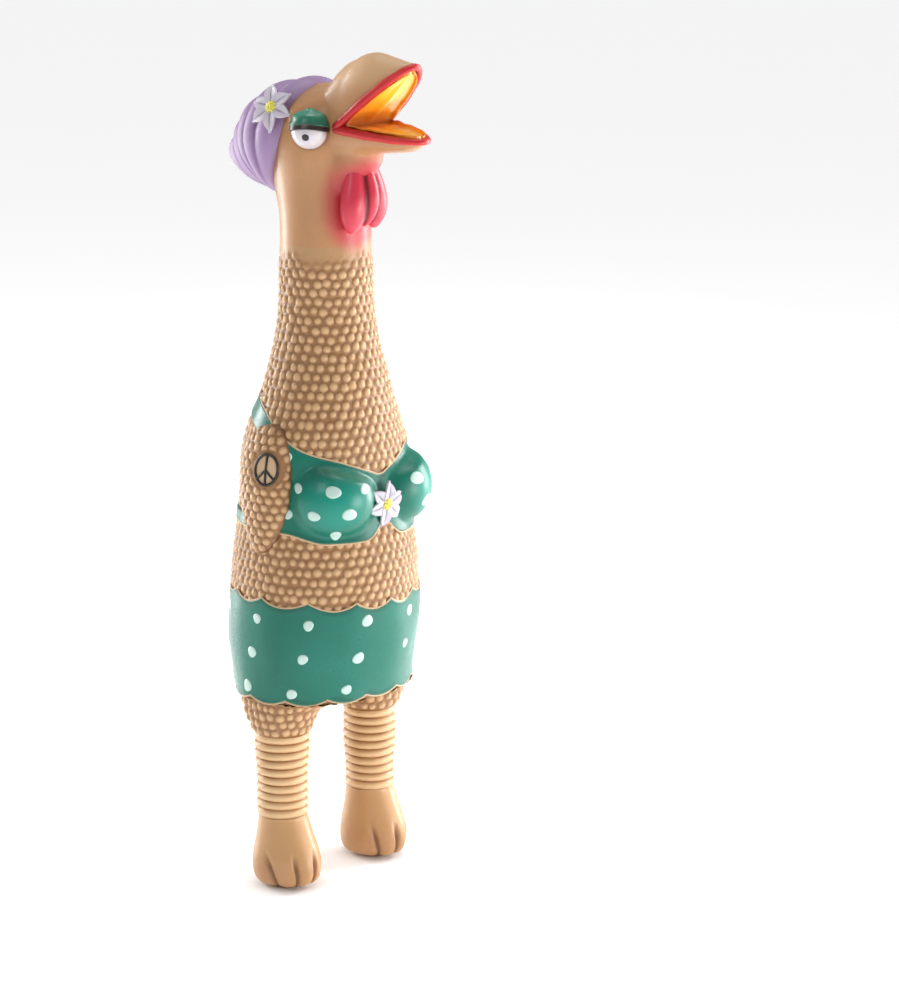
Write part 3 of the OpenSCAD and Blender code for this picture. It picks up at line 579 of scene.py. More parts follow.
def girth(z):
    side = np.interp(z, trunkLevels, reachOf["side"])
    front = np.interp(z, trunkLevels, reachOf["front"])
    back = np.interp(z, trunkLevels, reachOf["back"])
    return math.pi * (side + (front + back) / 2)


def gridNormals(points, closed=True):
    if closed:
        across = np.roll(points, -1, axis=1) - np.roll(points, 1, axis=1)
    else:
        across = np.gradient(points, axis=1)
    normals = np.cross(across, np.gradient(points, axis=0))
    return normals / np.maximum(np.linalg.norm(normals, axis=-1, keepdims=True), 1e-9)


# Studs
studs = {"row": 4.45, "pitch": 4.8, "radius": 2.12, "height": 1.15, "shift": 0.52}


def studHeights(z, turn, around, seed=1.0, first=None):
    # heights from 0 to 1 of staggered studs; around gives the girth at a level
    first = bird["shoulder"] if first is None else first
    u = (z - first) / studs["row"]
    best = np.zeros(np.shape(z))
    for step in (0, 1):
        row = np.floor(u - 0.5) + step
        levelZ = first + (row + 0.5) * studs["row"]
        length = around(levelZ)
        count = np.maximum(np.round(length / studs["pitch"]), 3)
        t = turn / (2 * math.pi) * count - (row % 2) * 0.5
        index = np.round(t)
        label = index % count
        alongShift = (scatter(row, label, seed) - 0.5) * 2 * studs["shift"]
        upShift = (scatter(label, row, seed + 3) - 0.5) * 2 * studs["shift"]
        size = studs["radius"] * (0.84 + 0.26 * scatter(row + label, label, seed + 5))
        along = (t - index) * length / count - alongShift
        up = z - levelZ - upShift
        best = np.maximum(best, np.clip(1 - (along**2 + up**2) / size**2, 0, 1) ** 0.62)
    return best


# Garment outlines on the trunk
bikini = {
    "neckline": [[0, 210.5], [10, 213], [30, 218.5], [60, 225], [84, 234], [105, 241.5], [137, 247], [180, 249]],
    "strap": 8.0,
    "armTurn": math.radians(101),
    "bandTop": 190.0,
    "hem": lowOf("bikini_top")[2] + 0.6,
    "lift": 1.3,
    "cupR": 21.0,
    "cupX": 20.0,
    "cupY": trunkPoint(201.0, 0.0)[1] + 13.4,
    "cupZ": 201.0,
    "soft": 3.0,
    "settle": 6.0,
}
shorts = {
    "top": highOf("swim_shorts")[2] - 0.6,
    "hem": lowOf("swim_shorts")[2] + 0.2,
    "scallops": 13,
    "depth": 3.6,
    "lift": 1.3,
}


def wrapped(turn):
    return np.abs((turn + math.pi) % (2 * math.pi) - math.pi)


def neckline(turn):
    return smoothCurve(bikini["neckline"], np.degrees(wrapped(turn)))


def bikiniHem(turn):
    around = np.degrees(wrapped(turn))
    return bikini["hem"] + 8.5 * np.exp(-((around / 9.0) ** 2)) + 4.5 * ease((around - 42) / 30)


def bikiniInside(turn, z):
    # how far a place is inside the top's outline
    around = wrapped(turn)
    main = np.minimum(neckline(turn) - z, z - bikiniHem(turn))
    low, high = bikini["bandTop"], neckline(turn) - bikini["strap"]
    radius = 5.0
    width = (around - bikini["armTurn"]) * 42.0
    dx = np.maximum(radius - width, 0)
    dz = np.maximum(radius - np.minimum(z - low, high - z), 0)
    corner = radius - np.hypot(dx, dz)
    hole = np.minimum(np.minimum(width, np.minimum(z - low, high - z)), corner)
    return np.minimum(main, -hole)


def shortsTop(turn):
    sweep = 5.0 * np.cos(turn + 0.5) + 1.6 * np.sin(2 * turn + 0.7)
    lobe = np.abs(np.sin(turn * shorts["scallops"] / 2 + 0.35 * np.sin(3 * turn)))
    return shorts["top"] - 0.4 - shorts["depth"] * lobe**0.8 - 0.5 * sweep


def shortsHem(turn):
    lobe = np.abs(np.sin((turn + 0.2) * shorts["scallops"] / 2 + 0.3 * np.sin(2 * turn)))
    return shorts["hem"] + 2.6 - 2.6 * lobe**0.8


def shortsInside(turn, z):
    return np.minimum(shortsTop(turn) - z, z - shortsHem(turn))


def bikiniPoint(z, turn, out=0.0):
    base = trunkPoint(z, turn)
    axis = np.stack([np.zeros(base.shape[:-1]), trunkAxis(base[..., 2]), base[..., 2]], axis=-1)
    ray = base - axis
    length = np.linalg.norm(ray, axis=-1)
    ray = ray / length[..., None]
    reach = length + bikini["lift"]
    for side in (-1, 1):
        centre = np.array([side * bikini["cupX"], bikini["cupY"]])
        offset = centre - axis[..., :2]
        round2 = bikini["cupR"] ** 2 - (base[..., 2] - bikini["cupZ"]) ** 2
        toward = (ray[..., :2] * offset).sum(axis=-1)
        inner = toward**2 - (offset**2).sum(axis=-1) + round2
        cup = np.where(inner > 0, toward + np.sqrt(np.maximum(inner, 0)), 0)
        swell = np.maximum(softMax(reach, cup, bikini["soft"]) - reach, 0)
        reach = reach + swell * ease((bikiniInside(turn, z) + 0.2) / bikini["settle"])
    return axis + ray * (reach + out)[..., None]


def shortsPoint(z, turn, out=0.0):
    ripple = 0.35 * np.sin(turn * 5 + 0.6) * np.sin((z - 100) * 0.11) + 0.25 * np.sin(turn * 9 + z * 0.05)
    return trunkPoint(z, turn, shorts["lift"] + ripple + out)


def trimmedSheet(name, pointAt, insideAt, low, high, stepTurn, stepZ):
    # a sheet on the trunk, cut to its outline by moving the nearest points onto it
    columns = int(round(2 * math.pi / stepTurn))
    rows = int(round((high - low) / stepZ)) + 1
    turn, z = np.meshgrid(turnsOf(columns), np.linspace(low, high, rows))
    arc = girth(z) / (2 * math.pi)
    for _ in range(2):
        d = insideAt(turn, z)
        nudge = 0.05
        slopeX = (insideAt(turn + nudge / arc, z) - d) / nudge
        slopeZ = (insideAt(turn, z + nudge) - d) / nudge
        steep = np.maximum(slopeX**2 + slopeZ**2, 0.2)
        near = np.abs(d) < 0.62 * stepZ
        turn = np.where(near, turn - d * slopeX / steep / arc, turn)
        z = np.where(near, z - d * slopeZ / steep, z)
    d = insideAt(turn, z)
    points = pointAt(z, turn)
    flat = d.ravel()
    faces = []
    for face in gridFaces(rows, columns, True):
        depths = [flat[k] for k in face]
        if sum(depths) > 0.02 and min(depths) > -0.3 * stepZ:
            faces.append(face)
    used = sorted({k for f in faces for k in f})
    renumber = {k: i for i, k in enumerate(used)}
    return makePiece(name, points.reshape(-1, 3)[used], [[renumber[k] for k in f] for f in faces])


def closedTube(name, path, radius, sides=10):
    # a round cord along a closed path
    path = np.asarray(path, float)
    ahead = np.roll(path, -1, axis=0) - np.roll(path, 1, axis=0)
    ahead /= np.linalg.norm(ahead, axis=1, keepdims=True)
    outward = path - path.mean(axis=0)
    side = np.cross(ahead, outward)
    side /= np.linalg.norm(side, axis=1, keepdims=True)
    rise = np.cross(side, ahead)
    angles = turnsOf(sides)
    ring = side[:, None, :] * np.cos(angles)[None, :, None] + rise[:, None, :] * np.sin(angles)[None, :, None]
    points = path[:, None, :] + radius * ring
    rows = len(path)
    faces = []
    for i in range(rows):
        for j in range(sides):
            a, b = i * sides + j, i * sides + (j + 1) % sides
            c, d = ((i + 1) % rows) * sides + (j + 1) % sides, ((i + 1) % rows) * sides + j
            faces.append([a, d, c, b])
    return makePiece(name, points.reshape(-1, 3), faces)


def joined(name, parts):
    with bpy.context.temp_override(active_object=parts[0], selected_editable_objects=parts):
        bpy.ops.object.join()
    parts[0].name = name
    return parts[0]


# Trunk skins
def studdedSkin(name, low, high, fade):
    # a stretch of trunk with studs; fade gives the studs' share of their height at (turn, level)
    rows = int(round((high - low) / 0.62)) + 1
    turns = turnsOf(trunk["columns"])
    turn, z = np.meshgrid(turns, np.linspace(low, high, rows))
    base = trunkPoint(z, turn)
    height = studHeights(z, turn, girth) * fade(turn, z)
    points = base + gridNormals(base) * (height * studs["height"])[..., None]
    points[..., 2] = np.where((z == low) | (z == high), z, points[..., 2])
    piece = makePiece(name, points.reshape(-1, 3), gridFaces(rows, trunk["columns"], True))
    # the stud tops get a painted highlight that follows their height
    mark(piece, "painted_highlight", height)
    return piece, turn, z


def clearOfGarments(turn, z):
    bare = np.maximum(bikiniInside(turn, z), shortsInside(turn, z))
    bare = np.maximum(bare, np.where(z < shortsHem(turn), 1.0, -9.0))
    return ease((0.2 - bare) / 1.4)


def blushAt(points):
    # the red sprayed on the skin round the wattle
    low, high = lowOf("wattle"), highOf("wattle")
    sideways = np.abs(points[..., 0]) / 14.5
    upDown = (points[..., 2] - (low[2] + high[2]) / 2 + 2) / 21.0
    forwardOf = ease((bird["spineY"] - 2 - points[..., 1]) / 12)
    distance = np.sqrt(sideways**2.4 + np.abs(upDown) ** 3)
    return ease((1.45 - distance) / 0.75) * forwardOf


torsoSkin, turn, z = studdedSkin("torsoSkin", bird["crotch"], bird["shoulder"], clearOfGarments)
place(torsoSkin, "torso", "latex_skin", studdedLatex, ["torso_skin"])

everywhere = lambda turn, z: np.ones(np.shape(z))
neckBaseSkin, turn, z = studdedSkin("neckBaseSkin", bird["shoulder"], bird["neckLow"], everywhere)
place(neckBaseSkin, None, "latex_skin", studdedLatex, ["neck_base_skin"])
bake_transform(neckBaseSkin)

throatFade = {"from": 309.0, "to": 320.0}


def fadeUp(turn, z):
    edge = 1.6 * np.sin(turn * 3 + 1) + 1.2 * np.sin(turn * 7)
    return 1 - ease((z - throatFade["from"] - edge) / (throatFade["to"] - throatFade["from"]))


neckSkin, turn, z = studdedSkin("neckSkin", bird["neckLow"], bird["throatLow"], everywhere)
place(neckSkin, "neck", "latex_skin", studdedLatex, ["neck_skin"])
throatSkin, turn, z = studdedSkin("throatSkin", bird["throatLow"], bird["throatTop"], fadeUp)
smoothShare = (1 - fadeUp(turn, z)).ravel()
throatHighlight = np.array([value.value for value in throatSkin.data.attributes["painted_highlight"].data])
# the studs keep their painted highlight, and the smooth upper throat is lifted the same way to the head latex's own
# tone
mark(throatSkin, "painted_highlight", np.maximum(throatHighlight, 0.47 * smoothShare))
mark(throatSkin, "blush", blushAt(pointsOf(throatSkin)))
place(throatSkin, None, "latex_skin", studdedLatex, ["throat_skin"])
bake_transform(throatSkin)
print("trunk skins made")

# Thighs
hips = {
    "columns": 176,
    "rows": 46,
    "knee": (highOf("shank_right")[0] - lowOf("shank_right")[0]) / 2 - 0.4,
    "bulge": 1.9,
    "thigh": 18.6,
}


def thighRings(side):
    # each thigh runs from its half of the pelvis's outline down to the round knee
    outline = trunkPoint(np.full(720, bird["crotch"]), np.arange(720) * math.pi / 360)[:, :2]
    turns = turnsOf(hips["columns"])
    centre = np.array([side * bird["legX"], bird["spineY"]])
    edge = np.hypot(outline[:, 0], outline[:, 1] - bird["spineY"])
    edge = np.append(edge, edge[0])
    reach = []
    for turn in turns:
        ray = np.array([math.sin(turn), -math.cos(turn)])
        steps = np.linspace(2, 60, 400)
        spots = centre + steps[:, None] * ray
        around = np.arctan2(spots[:, 0], -(spots[:, 1] - bird["spineY"]))
        limit = np.interp(around % (2 * math.pi), np.arange(721) * math.pi / 360, edge)
        inside = (np.hypot(spots[:, 0], spots[:, 1] - bird["spineY"]) < limit) & (spots[:, 0] * side > 0)
        reach.append(steps[inside].max())
    reach = np.array(reach)
    reach = np.array([reach[np.arange(k - 4, k + 5) % len(reach)].mean() for k in range(len(reach))])
    share = np.linspace(1, 0, hips["rows"])
    z = bird["knee"] + (bird["crotch"] - bird["knee"]) * share
    fall = (1 - (1 - share) ** hips["bulge"])[:, None]
    near = np.minimum(reach, hips["thigh"])[None, :]
    radius = hips["knee"] + (near - hips["knee"]) * fall + (reach[None, :] - near) * share[:, None] ** 7
    turn, level2 = np.meshgrid(turns, z)
    points = np.stack([centre[0] + radius * np.sin(turn), centre[1] - radius * np.cos(turn), level2], axis=-1)
    return points[::-1], turn[::-1], level2[::-1], radius[::-1]


thighs = []
for side in (-1, 1):
    points, turn, z, radius = thighRings(side)
    meanRadius = radius.mean(axis=1)
    length = lambda at: 2 * math.pi * np.interp(at, z[:, 0], meanRadius)
    height = studHeights(z, turn, length, 4.0 + side, bird["knee"] + 0.3)
    height *= ease((z - bird["knee"] + 0.4) / 1.5)
    points = points + gridNormals(points) * (height * studs["height"])[..., None]
    points[..., 2] = np.clip(points[..., 2], bird["knee"], bird["crotch"])
    thigh = loftPiece("thigh", points, True, False)
    # the stud tops get a painted highlight that follows their height
    mark(thigh, "painted_highlight", height)
    thighs.append(thigh)
hipSkin = joined("hipSkin", thighs)
place(hipSkin, "torso", "latex_skin", studdedLatex, ["hip_skin"])
print("thighs made")

# Shanks and feet
leg = {
    "rings": 10,
    "ringDepth": 1.5,
    "ankle": 12.2,
    "knee": hips["knee"],
    "columns": 144,
    "footSide": (highOf("foot_left")[0] - lowOf("foot_left")[0]) / 2,
    "footFront": bird["spineY"] - lowOf("foot_left")[1],
    "footBack": highOf("foot_left")[1] - bird["spineY"],
    "sideShares": [[0, 0.5], [0.08, 0.84], [0.22, 0.98], [0.42, 1], [0.7, 0.87], [0.9, 0.79], [1, 0.77]],
    "frontShares": [[0, 0.5], [0.08, 0.84], [0.22, 0.99], [0.42, 0.96], [0.7, 0.77], [0.9, 0.62], [1, 0.56]],
    "backShares": [[0, 0.5], [0.08, 0.86], [0.22, 1], [0.42, 0.98], [0.7, 0.88], [0.9, 0.83], [1, 0.81]],
    "grooves": [-62, -27, 4, 36],
    "lean": [-22, -9, 3, 16],
}
for side, label in ((-1, "right"), (1, "left")):
    low, high = bird["ankle"], bird["knee"]
    rows = 190
    turn, z = np.meshgrid(turnsOf(leg["columns"]), np.linspace(low, high, rows))
    share = (z - low) / (high - low)
    wobble = 0.02 * np.sin(turn * 2 + share * 9 + side)
    ring = np.abs(np.sin(math.pi * leg["rings"] * (share + 0.004 * np.sin(turn + side)))) ** 0.55
    radius = leg["ankle"] + (leg["knee"] - leg["ankle"]) * share - leg["ringDepth"] * (1 - ring) + 0.9 * ring * 0.6
    radius = radius * (1 + wobble)
    radius = radius + 0.9 * (1 - ease(share / 0.03)) + 0.6 * ease((share - 0.97) / 0.03)
    across, ahead = radius * np.sin(turn), radius * np.cos(turn)
    points = np.stack([side * bird["legX"] + across, bird["spineY"] - ahead, z], axis=-1)
    shank = makePiece("shank" + label.capitalize(), points.reshape(-1, 3), gridFaces(rows, leg["columns"], True))
    # painted shade in the grooves between the rings and a painted highlight on the ring tops
    mark(shank, "painted_shade", np.clip(1 - ring * 1.5, 0, 1))
    mark(shank, "painted_highlight", np.clip(ring * 1.6 - 0.7, 0, 1))
    place(shank, None, "latex_skin", ribbedLatex, ["shank_" + label])
    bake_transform(shank)

    # a plump foot that stands on its toes, with grooves between them
    rows, columns = 110, 220
    share = np.concatenate([np.linspace(0, 0.1, 22)[:-1], np.linspace(0.1, 1, rows - 21)])
    turn, share = np.meshgrid(turnsOf(columns), share)
    sideways = leg["footSide"] * smoothCurve(leg["sideShares"], share)
    front = leg["footFront"] * smoothCurve(leg["frontShares"], share)
    back = leg["footBack"] * smoothCurve(leg["backShares"], share)
    toe = np.zeros(share.shape)
    for start, lean in zip(leg["grooves"], leg["lean"]):
        middle = np.radians((start + lean * share * 1.6) * -side)
        away = np.angle(np.exp(1j * (turn - middle)))
        toe = np.maximum(toe, np.exp(-((away / 0.085) ** 2)) * ease((0.62 - share) / 0.3))
        toe = np.maximum(toe, 0.4 * np.exp(-((away / 0.2) ** 2)) * ease((0.5 - share) / 0.3))
    deep = np.where(np.cos(turn) > 0, front, back)
    squeeze = 1 - 0.105 * toe
    points = np.stack([
        side * bird["legX"] + sideways * np.sin(turn) * squeeze,
        bird["spineY"] - deep * np.cos(turn) * squeeze,
        highOf("foot_left")[2] * share + 1.6 * toe * ease((0.12 - share) / 0.1),
    ], axis=-1)
    rows = points.shape[0]
    flat = points.reshape(-1, 3)
    faces = gridFaces(rows, columns, True)
    centre = len(flat)
    flat = np.vstack([flat, [[side * bird["legX"], bird["spineY"], 0.4]]])
    faces += [[(j + 1) % columns, j, centre] for j in range(columns)]
    top = (rows - 1) * columns
    flat = np.vstack([flat, [[side * bird["legX"], bird["spineY"], bird["ankle"]]]])
    faces += [[top + j, top + (j + 1) % columns, centre + 1] for j in range(columns)]
    foot = makePiece("foot" + label.capitalize(), flat, faces)
    # painted shade in the grooves between the toes and a painted highlight up the foot, away from the toes
    mark(foot, "painted_shade", np.append((toe**1.5 * 0.9).ravel(), [0, 0]))
    mark(foot, "painted_highlight", np.append((ease((share - 0.15) / 0.5) * 0.5 * (1 - toe)).ravel(), [0, 0]))
    place(foot, label + "_foot", "latex_skin", footLatex, ["foot_" + label])
print("legs made")

# The bikini top and the shorts
bikiniEnds = lowOf("bikini_top")[2] - 2, highOf("bikini_top")[2] + 2
bikiniTop = trimmedSheet("bikiniTop", bikiniPoint, bikiniInside, *bikiniEnds, math.radians(1.0), 0.75)
bikiniAt = pointsOf(bikiniTop)
bikiniTurn = np.arctan2(bikiniAt[:, 0], -(bikiniAt[:, 1] - trunkAxis(bikiniAt[:, 2])))
margin = bikiniInside(bikiniTurn, bikiniAt[:, 2])
inFront = bikiniAt[:, 1] < -20
# painted shade along the edges and down the middle of the front, and a painted highlight on the front of the cups
mark(bikiniTop, "painted_shade", 0.5 * ease(1 - margin / 2.4) + 0.35 * ease(1 - np.abs(bikiniAt[:, 0]) / 5) * inFront)
mark(bikiniTop, "painted_highlight", ease((np.hypot(bikiniAt[:, 0], bikiniAt[:, 1]) - 42) / 10) * inFront)
place(bikiniTop, "torso", "painted_teal", tealPaint, ["bikini_top"])

shortsEnds = lowOf("swim_shorts")[2] - 1.5, highOf("swim_shorts")[2] + 1.5
swimShorts = trimmedSheet("swimShorts", shortsPoint, shortsInside, *shortsEnds, math.radians(1.0), 0.75)
shortsAt = pointsOf(swimShorts)
shortsTurn = np.arctan2(shortsAt[:, 0], -(shortsAt[:, 1] - trunkAxis(shortsAt[:, 2])))
# painted shade along the edges
mark(swimShorts, "painted_shade", 0.5 * ease(1 - shortsInside(shortsTurn, shortsAt[:, 2]) / 2.2))
place(swimShorts, "torso", "painted_teal", tealPaint, ["swim_shorts"])

# the seat of the shorts closes them between the thighs
share, turn = np.meshgrid(np.linspace(0.02, 1, 40), turnsOf(240), indexing="ij")
rim = shortsPoint(shortsHem(turn) + 0.6, turn, -0.5)
seatMiddle = np.array([0, bird["spineY"], bird["crotch"]])
seatAt = seatMiddle + (rim - seatMiddle) * share[..., None]
seatAt[..., 2] = bird["crotch"] - 1.2 + (rim[..., 2] - bird["crotch"] + 1.2) * share**6
shortsSeat = makePiece("shortsSeat", seatAt.reshape(-1, 3), [f[::-1] for f in gridFaces(40, 240, True)])
place(shortsSeat, "torso", "painted_teal", tealPaint)

edging = {"radius": 0.75, "sink": 0.75}


def edgePath(pointAt, lineAt, count=540):
    turn = turnsOf(count)
    return pointAt(lineAt(turn), turn, -edging["sink"])


def backOpening():
    # round the hole in the back of the top: along under the strap, and back along the band
    arm, count, radius = bikini["armTurn"], 150, 5.0
    across = np.linspace(arm, 2 * math.pi - arm, count)
    corner = radius / 42.0
    fromEnd = np.minimum(across - arm, 2 * math.pi - arm - across)
    inset = radius - np.sqrt(np.maximum(radius**2 - (radius * np.maximum(0, 1 - fromEnd / corner)) ** 2, 0))
    high = neckline(across) - bikini["strap"] - inset
    low = bikini["bandTop"] + inset
    up = np.linspace(low[0], high[0], 40)[1:-1]
    down = np.linspace(high[-1], low[-1], 40)[1:-1]
    turn = np.concatenate([across, np.full(38, 2 * math.pi - arm), across[::-1], np.full(38, arm)])
    z = np.concatenate([high, down, low[::-1], up])
    return bikiniPoint(z, turn, -edging["sink"])


topEdges = joined("bikiniEdging", [
    closedTube("edge", edgePath(bikiniPoint, neckline), edging["radius"]),
    closedTube("edge", edgePath(bikiniPoint, bikiniHem), edging["radius"]),
    closedTube("edge", backOpening(), edging["radius"]),
])
place(topEdges, "torso", "painted_teal", tealPaint)
shortsEdges = joined("shortsEdging", [
    closedTube("edge", edgePath(shortsPoint, shortsTop), edging["radius"]),
    closedTube("edge", edgePath(shortsPoint, shortsHem), edging["radius"]),
])
place(shortsEdges, "torso", "painted_teal", tealPaint)

trim = {"radius": 0.5, "out": 0.15, "rise": 1.0}


def trimPath(pointAt, lineAt, rise, count=540):
    turn = turnsOf(count)
    return pointAt(lineAt(turn) + rise, turn, trim["out"] - edging["sink"])


trims = joined("garmentTrim", [
    closedTube("trim", trimPath(bikiniPoint, neckline, trim["rise"]), trim["radius"], 8),
    closedTube("trim", trimPath(bikiniPoint, bikiniHem, -trim["rise"]), trim["radius"], 8),
    closedTube("trim", trimPath(shortsPoint, shortsTop, trim["rise"]), trim["radius"], 8),
    closedTube("trim", trimPath(shortsPoint, shortsHem, -trim["rise"]), trim["radius"], 8),
])
place(trims, "torso", "latex_skin", palePatch)


# Polka dots
dots = {"radius": 2.75, "thick": 0.32, "rings": 5, "sides": 28, "seed": 11}


def dotMesh(pointAt, places):
    points, faces = [], []
    for number, (turn, z) in enumerate(places):
        arc = float(girth(z)) / (2 * math.pi)
        size = dots["radius"] * (0.88 + 0.24 * scatter(number, 3.0, dots["seed"]))
        stretch = 1 + 0.16 * (scatter(number, 7.0, dots["seed"]) - 0.5)
        first = len(points)
        for ring in range(dots["rings"] + 2):
            share = min(ring / dots["rings"], 1.0)
            out = dots["thick"] * math.sqrt(max(0, 1 - share**4)) + 0.04 if ring <= dots["rings"] else -0.4
            for k in range(dots["sides"]):
                a = 2 * math.pi * k / dots["sides"]
                reach = size * share * (1 + 0.04 * math.sin(3 * a + number))
                points.append(pointAt(z + reach * math.sin(a) * stretch, turn + reach * math.cos(a) / arc, out))
        for ring in range(dots["rings"] + 1):
            for k in range(dots["sides"]):
                a, b = first + ring * dots["sides"] + k, first + ring * dots["sides"] + (k + 1) % dots["sides"]
                faces.append([a, a + dots["sides"], b + dots["sides"], b])
    return np.array(points), faces


shortsPlaces = []
for column in range(10):
    for row, rise in enumerate((42.0, 23.8, 6.2)):
        turn = math.radians(-52 + 36 * column - 4.2 * row + 3 * (scatter(column, row, 2) - 0.5))
        z = bird["crotch"] + rise + 2.4 * (scatter(row, column, 5) - 0.5)
        if shortsInside(turn, z) > 3.3:
            shortsPlaces.append((turn, z))
points, faces = dotMesh(shortsPoint, shortsPlaces)
shortsDots = makePiece("shortsDots", points, faces)
place(shortsDots, "torso", "painted_white", dotPaint)

bikiniPlaces = []
for row, z in enumerate((184.5, 195.5, 208.5, 223.5, 238.0)):
    for column in range(-9, 9):
        turn = math.radians(20 * column + (10 if row % 2 else 1) + 5 * (scatter(column, row, 8) - 0.5))
        height = z + 2.6 * (scatter(row, column, 9) - 0.5)
        fromFlower = math.hypot(turn * 42, height - 197)
        besideWing = abs(abs(turn) - math.radians(92)) <= math.radians(16)
        if bikiniInside(turn, height) > 3.2 and fromFlower > 13 and not besideWing:
            bikiniPlaces.append((turn, height))
points, faces = dotMesh(bikiniPoint, bikiniPlaces)
bikiniDots = makePiece("bikiniDots", points, faces)
place(bikiniDots, "torso", "painted_white", dotPaint)
print("garments made")

# Wings
wing = {
    "turn": math.radians(89),
    "level": (lowOf("wing_right")[2] + highOf("wing_right")[2]) / 2,
    "halfHigh": (highOf("wing_right")[2] - lowOf("wing_right")[2]) / 2,
    "halfWide": 17.0,
    "raise": 7.0,
    "taper": 0.2,
    "badge": [-5.0, 11.0],
    "badgeR": 8.2,
}


def wingShare(along, up):
    q = up / wing["halfHigh"]
    p = along / (wing["halfWide"] * (1 + wing["taper"] * q))
    return np.hypot(p, q)


def wingPoint(side, along, up, out=0.0):
    # along runs to the back, up from the middle of the wing
    z = wing["level"] + up
    arc = girth(z) / (2 * math.pi)
    turn = side * (wing["turn"] + along / arc)
    share = wingShare(along, up)
    dome = wing["raise"] * np.clip(1 - share**2, 0, 1) ** 0.42 - 0.8
    return trunkPoint(z, turn, dome + out)


def wingStuds(along, up, side):
    pitchUp, pitchAlong = 4.1, 4.7
    best = np.zeros(np.shape(along))
    for stepUp in (0, 1):
        row = np.floor(up / pitchUp) + stepUp
        column = np.round(along / pitchAlong - (row % 2) * 0.5)
        x = (column + (row % 2) * 0.5) * pitchAlong + (scatter(row, column, side + 2) - 0.5) * 0.7
        y = row * pitchUp + (scatter(column, row, side + 6) - 0.5) * 0.6
        best = np.maximum(best, np.clip(1 - ((along - x) ** 2 + (up - y) ** 2) / 2.05**2, 0, 1) ** 0.62)
    return best


def wingMesh(side, label):
    rings, columns = 74, 240
    turns = turnsOf(columns)
    share, angle = np.meshgrid(np.linspace(0.0, 1.0, rings) ** 0.8, turns, indexing="ij")
    up = wing["halfHigh"] * share * np.sin(angle)
    along = wing["halfWide"] * share * np.cos(angle) * (1 + wing["taper"] * share * np.sin(angle))
    height = wingStuds(along, up, side) * ease((0.985 - share) / 0.06)
    if side < 0:
        fromBadge = np.hypot(along - wing["badge"][0], up - wing["badge"][1])
        height = height * ease((fromBadge - wing["badgeR"] - 0.5) / 1.6)
    points = wingPoint(side, along, up)
    normals = gridNormals(points) * (1 if side > 0 else -1)
    outward = points * np.array([1, 1, 0]) - np.array([0, bird["spineY"], 0])
    normals = np.where((share < 0.02)[..., None], outward, normals)
    normals /= np.maximum(np.linalg.norm(normals, axis=-1, keepdims=True), 1e-9)
    flip = np.sign((normals * outward).sum(axis=-1, keepdims=True))
    points = points + normals * flip * (height * studs["height"])[..., None]
    faces = gridFaces(rings, columns, True)
    faces = [f[::-1] for f in faces] if side > 0 else faces
    made = makePiece("wing" + label, points.reshape(-1, 3), faces)
    # painted highlight on the stud tops and painted shade in the crease round the wing's rim, stronger towards the
    # front
    crease = np.exp(-(((1 - share) / 0.07) ** 2)) * ease((0.55 - np.cos(angle)) / 0.9)
    mark(made, "painted_highlight", height)
    mark(made, "painted_shade", crease * 0.9)
    return made


wingRight = wingMesh(-1, "Right")
wingLeft = wingMesh(1, "Left")
place(wingRight, "torso", "latex_skin", studdedLatex, ["wing_right"])
place(wingLeft, "torso", "latex_skin", studdedLatex, ["wing_left"])

# the badge: a ring with a stem and two arms, drawn on a smooth patch
badgeX, badgeY = wing["badge"]
badgeRing = 6.6
turns = turnsOf(96)
ringPath = wingPoint(-1, badgeX + badgeRing * 0.92 * np.cos(turns), badgeY + badgeRing * 1.12 * np.sin(turns), 0.5)
badgeParts = [closedTube("badge", ringPath, 0.72, 10)]
for endX, endY, startX, startY in ((0, -1.1, 0, 1.1), (-0.68, -0.72, 0, 0), (0.68, -0.72, 0, 0)):
    t = np.linspace(0, 1, 12)
    along = badgeX + badgeRing * (startX + (endX - startX) * t)
    up = badgeY + badgeRing * (startY + (endY - startY) * t)
    path = wingPoint(-1, along, up, 0.45)
    badgeParts.append(loftPiece("badge", tubeRings(path, 0.62, 10, up=(1, 0, 0))))
armBadge = joined("armBadge", badgeParts)
place(armBadge, "torso", "painted_dark", darkPaint, ["arm_badge"])
share, angle = np.meshgrid(np.linspace(0, 1, 12), turnsOf(72), indexing="ij")
patchX = badgeX + 6.4 * 0.92 * share * np.cos(angle)
patchY = badgeY + 6.4 * 1.12 * share * np.sin(angle)
patchAt = wingPoint(-1, patchX, patchY, 0.22)
badgePatch = makePiece("badgePatch", patchAt.reshape(-1, 3), gridFaces(12, 72, True))
place(badgePatch, "torso", "latex_skin", palePatch)
print("wings made")

# Head and beak
head = {
    "wide": highOf("head_skin")[0] * 2,
    "side": [[0, 0], [0.25, 0.46], [0.5, 0.5], [0.68, 0.42], [0.77, 0.25], [0.81, 0.1]],
    "front": [[0, 0], [0.25, 0], [0.5, 0.46], [0.68, 0.46], [0.77, 0.31], [0.81, 0.14]],
    "back": [[0, 0], [0.25, 0.54], [0.5, 0.62], [0.68, 0.54], [0.77, 0.32], [0.81, 0.12]],
    "axis": 3.0,
    "voxel": 0.75,
}
mouth = {
    "cornerF": 27.0,
    "cornerZ": lowOf("upper_lip")[2] - 0.1,
    "half": highOf("upper_beak")[0],
    "roof": math.tan(math.radians(40)),
    "floor": math.tan(math.radians(-6)),
    "upperTip": 62.3,
    "lowerTip": 68.0,
    "rise": [[-0.5, 18], [-0.2, 28], [0, 31.5], [0.3, 26.5], [0.6, 16], [0.85, 7], [1, 3]],
    "drop": [[-0.5, 20], [0, 18], [0.3, 11.5], [0.6, 8.5], [0.85, 6], [1, 2.5]],
    "lip": 2.35,
}


